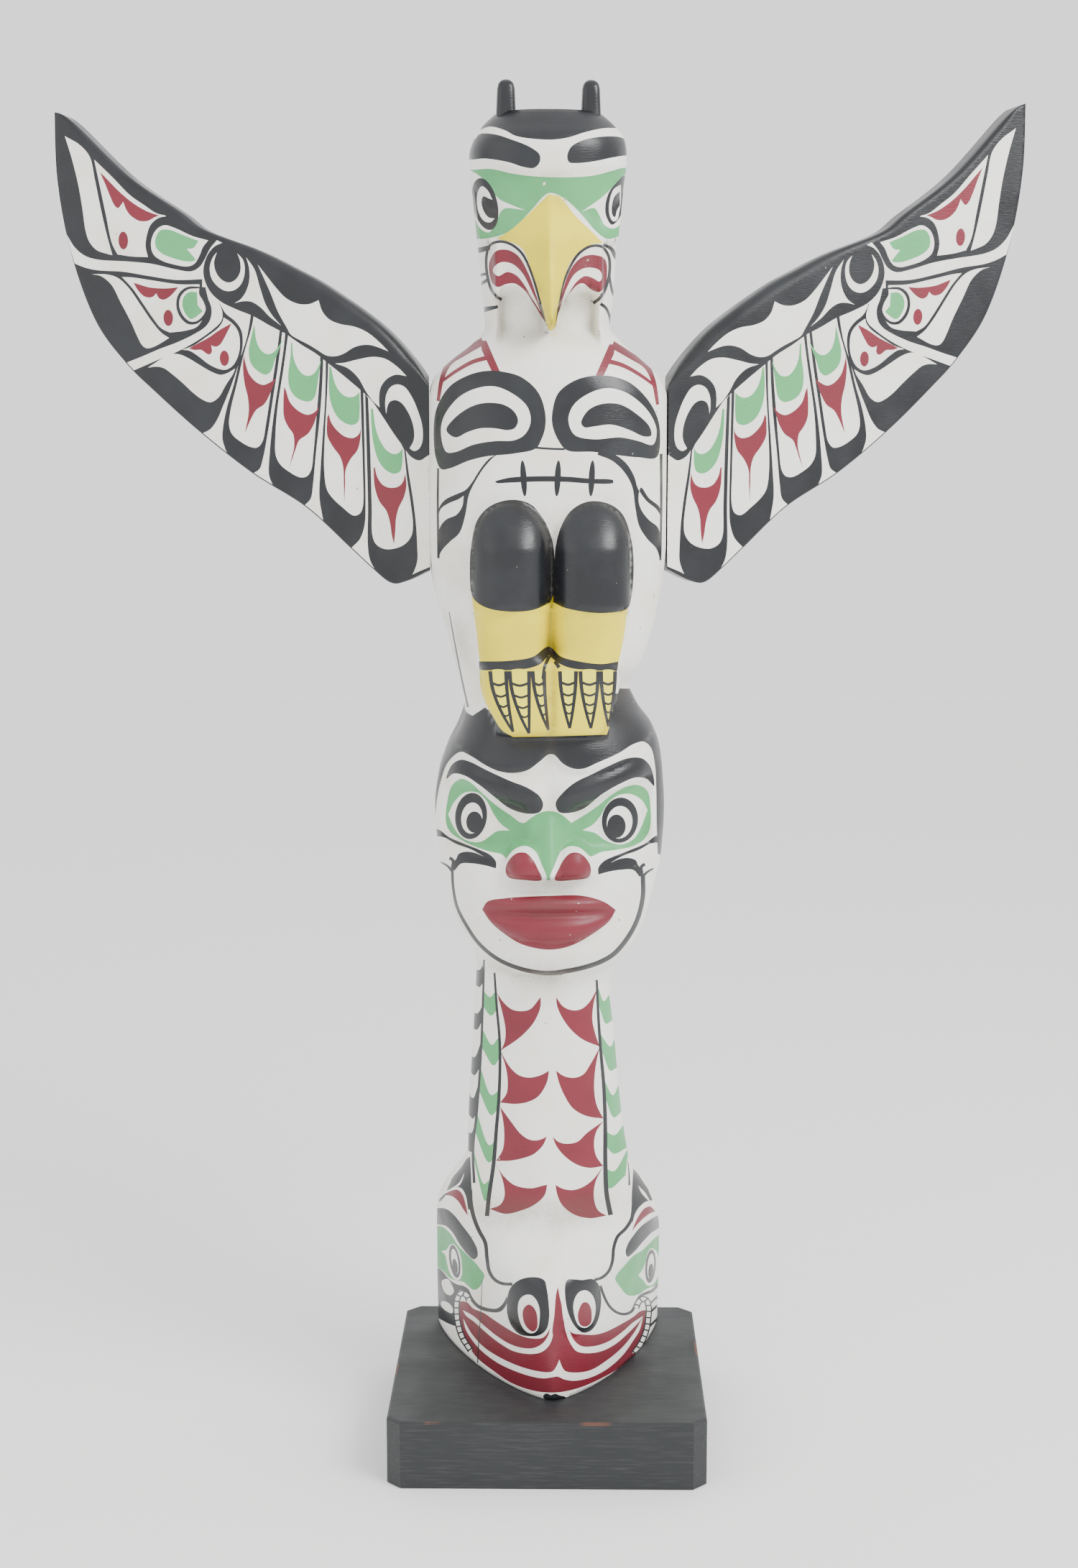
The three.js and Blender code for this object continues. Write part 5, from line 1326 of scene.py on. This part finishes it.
def eased_back(s, z, tip):
    """The back's outline: the board's own, drawn in by the ease except at the tip and the root."""
    way = np.stack([np.roll(s, -1) - np.roll(s, 1), np.roll(z, -1) - np.roll(z, 1)], 1)
    way /= np.maximum(np.linalg.norm(way, axis=1), 1e-9)[:, None]
    turn = 1.0 if ((s * np.roll(z, -1) - z * np.roll(s, -1)).sum() > 0) else -1.0
    ease = WING["ease"] * 0.7 * smooth(tip, tip - 11, s) * smooth(2, 6, s)
    return s - turn * way[:, 1] * ease, z + turn * way[:, 0] * ease


def plain_back(ring, low, high):
    """Points and triangles of the unpainted back."""
    coarse = np.array([(x, h) for x in np.arange(low[0], high[0], WING["back"])
                       for h in np.arange(low[1], high[1], WING["back"])])
    coarse = coarse[inside(ring, coarse)]
    keep = [tuple(p) for p in coarse if ((ring - p) ** 2).sum(1).min() > WING["clear"] ** 2]
    edges = [(i, (i + 1) % len(ring)) for i in range(len(ring))]
    back, _, faces, *_ = delaunay_2d_cdt([tuple(p) for p in ring] + keep, edges, [], 0, 1e-5, False)
    back = np.array([tuple(p) for p in back])
    faces = np.array([tuple(f) for f in faces])
    return back, faces[inside(ring, back[faces].mean(1))]


def wing_board(name, side, lift, reach):
    """One painted board, side -1 left or 1 right, its tip lifted and its length drawn in."""
    outer, inner, bevel = wing_rings(lift, reach)
    low, high = inner.min(0), inner.max(0)
    paints = [(c, lift_motif(o, lift, reach)) for c, o in wing_coats]
    verts, faces, colours = cut_and_colour(wing_field(inner), [("white", inner)] + paints, CLEAR, inner)
    line = border(faces)
    at = verts[line]
    where = place_along(inner, at)
    out_x, out_z, deep = [read_along(v, where) for v in (outer[:, 0], outer[:, 1], bevel)]
    # from the painted front: round the bevel, back along the edge, and in to the back
    rings = [(at[:, 0] + (out_x - at[:, 0]) * math.sin(a), at[:, 1] + (out_z - at[:, 1]) * math.sin(a),
              deep * (1 - math.cos(a))) for a in np.radians((30, 60, 90))]
    rings.append((at[:, 0] + (out_x - at[:, 0]), at[:, 1] + (out_z - at[:, 1]),
                  np.full(len(line), WING["thick"] - WING["ease"])))
    rings.append((*eased_back(out_x, out_z, low[0] + 207), np.full(len(line), WING["thick"])))
    points = [on_board(side, verts[:, 0], verts[:, 1], np.zeros(len(verts)))]
    total, previous = len(verts), np.array(line)
    faces, colours = list(map(tuple, faces)), list(colours)
    black = COLOURS.index("black")
    for s, z, depth in rings:
        s = np.where(at[:, 0] < 0.05, 0.0, s)
        points.append(on_board(side, s, z, depth))
        now = total + np.arange(len(line))
        for i in range(len(line)):
            j = (i + 1) % len(line)
            faces += [(previous[i], now[j], previous[j]), (previous[i], now[i], now[j])]
            colours += [black] * 2
        total += len(line)
        previous = now
    back, back_faces = plain_back(np.stack([s, z], 1), low, high)
    points.append(on_board(side, back[:, 0], back[:, 1], np.full(len(back), WING["thick"])))
    faces += [tuple(total + i for i in reversed(f)) for f in back_faces]
    colours += [black] * len(back_faces)
    points = np.concatenate(points)
    if side < 0:
        faces = [tuple(reversed(f)) for f in faces]
    board = to_mesh(name, turned(*points.T), faces, colours, enamels)
    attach(board, "root")
    return board


left = wing_board("wing_board_left", -1, 0.0, 1.0)
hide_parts("wing_left")
right = wing_board("wing_board_right", 1, WING["lift"], WING["reach"])
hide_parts("wing_right")


# ---------------------------------------------------------------- the plinth
def plinth_ring(inset, z):
    """The square plinth's outline with its cut corners, shrunk so that its sides stand inset further
    in, at one height."""
    half, cut = PLINTH["side"] / 2, PLINTH["chamfer"]
    corners = []
    for quarter in range(4):
        c, s = math.cos(quarter * math.pi / 2), math.sin(quarter * math.pi / 2)
        corners += [(x * c - y * s, x * s + y * c) for x, y in ((half - cut, -half), (half, cut - half))]
    shrink = 1 - inset / half
    return np.array([(x, y, z) for x, y in finely(np.array(corners), PLINTH["step"])]) * (shrink, shrink, 1)


def build_plinth():
    """The plinth from level rings, its paint rubbed along the edges."""
    high, ease = PLINTH["height"], PLINTH["ease"]
    # how far in and how high each ring stands, and whether its paint is rubbed
    steps = [(5.0, 0.0, 0), (0.6, 0.0, 1), (0.0, 0.6, 1), (0.0, 4.0, 0), (0.0, high / 2, 0),
             (0.0, high - 4.0, 0), (0.0, high - ease, 1), (ease * 0.3, high - ease * 0.3, 1),
             (ease, high, 1), (5.0, high, 0), (40.0, high, 0)]
    rings = [plinth_ring(inset, z) for inset, z, _ in steps]
    points, faces = closed_rings(rings, 0)
    piece = to_mesh("black_plinth", points, faces, [0] * len(faces), [scuffed_black()])
    for polygon in piece.data.polygons:
        polygon.use_smooth = False
    worn = [float(rubbed) for _, _, rubbed in steps for _ in rings[0]] + [0.0, 0.0]
    piece.data.attributes.new("worn", "FLOAT", "POINT").data.foreach_set("value", worn)
    return piece


plinth = build_plinth()
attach(plinth, "root")
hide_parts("plinth")

# ---------------------------------------------------------------- floor, light and camera
bpy.ops.mesh.primitive_plane_add(size=8.0)
floor = bpy.context.object
floor.name = "floor"
floor.data.materials.append(matt_floor())

world = bpy.data.worlds.new("studio")
bpy.context.scene.world = world
world.use_nodes = True
world.node_tree.nodes["Background"].inputs[0].default_value = (1, 1, 1, 1)
world.node_tree.nodes["Background"].inputs[1].default_value = 1.5


def soft_box(name, place, turn, size, power):
    """A large square lamp: metres, degrees, watts."""
    lamp = bpy.data.lights.new(name, "AREA")
    lamp.size = size
    lamp.energy = power
    holder = bpy.data.objects.new(name, lamp)
    bpy.context.scene.collection.objects.link(holder)
    holder.location = place
    holder.rotation_euler = [math.radians(a) for a in turn]


soft_box("key", (1.0, -0.9, 1.5), (48, 0, 48), 0.8, 26)
soft_box("fill", (-1.2, -0.9, 1.0), (60, 0, -53), 1.2, 3)

lens = bpy.data.cameras.new("camera")
lens.sensor_fit = "VERTICAL"
lens.sensor_height = 36
lens.lens = 36 * 3245 / 2182
lens.clip_end = 100
camera = bpy.data.objects.new("camera", lens)
bpy.context.scene.collection.objects.link(camera)
camera.location = (EYE[0] * MM, EYE[1] * MM, (EYE[2] + LIFT) * MM)
camera.rotation_euler = (math.radians(90 - TILT), 0, math.radians(SWING))
bpy.context.scene.camera = camera
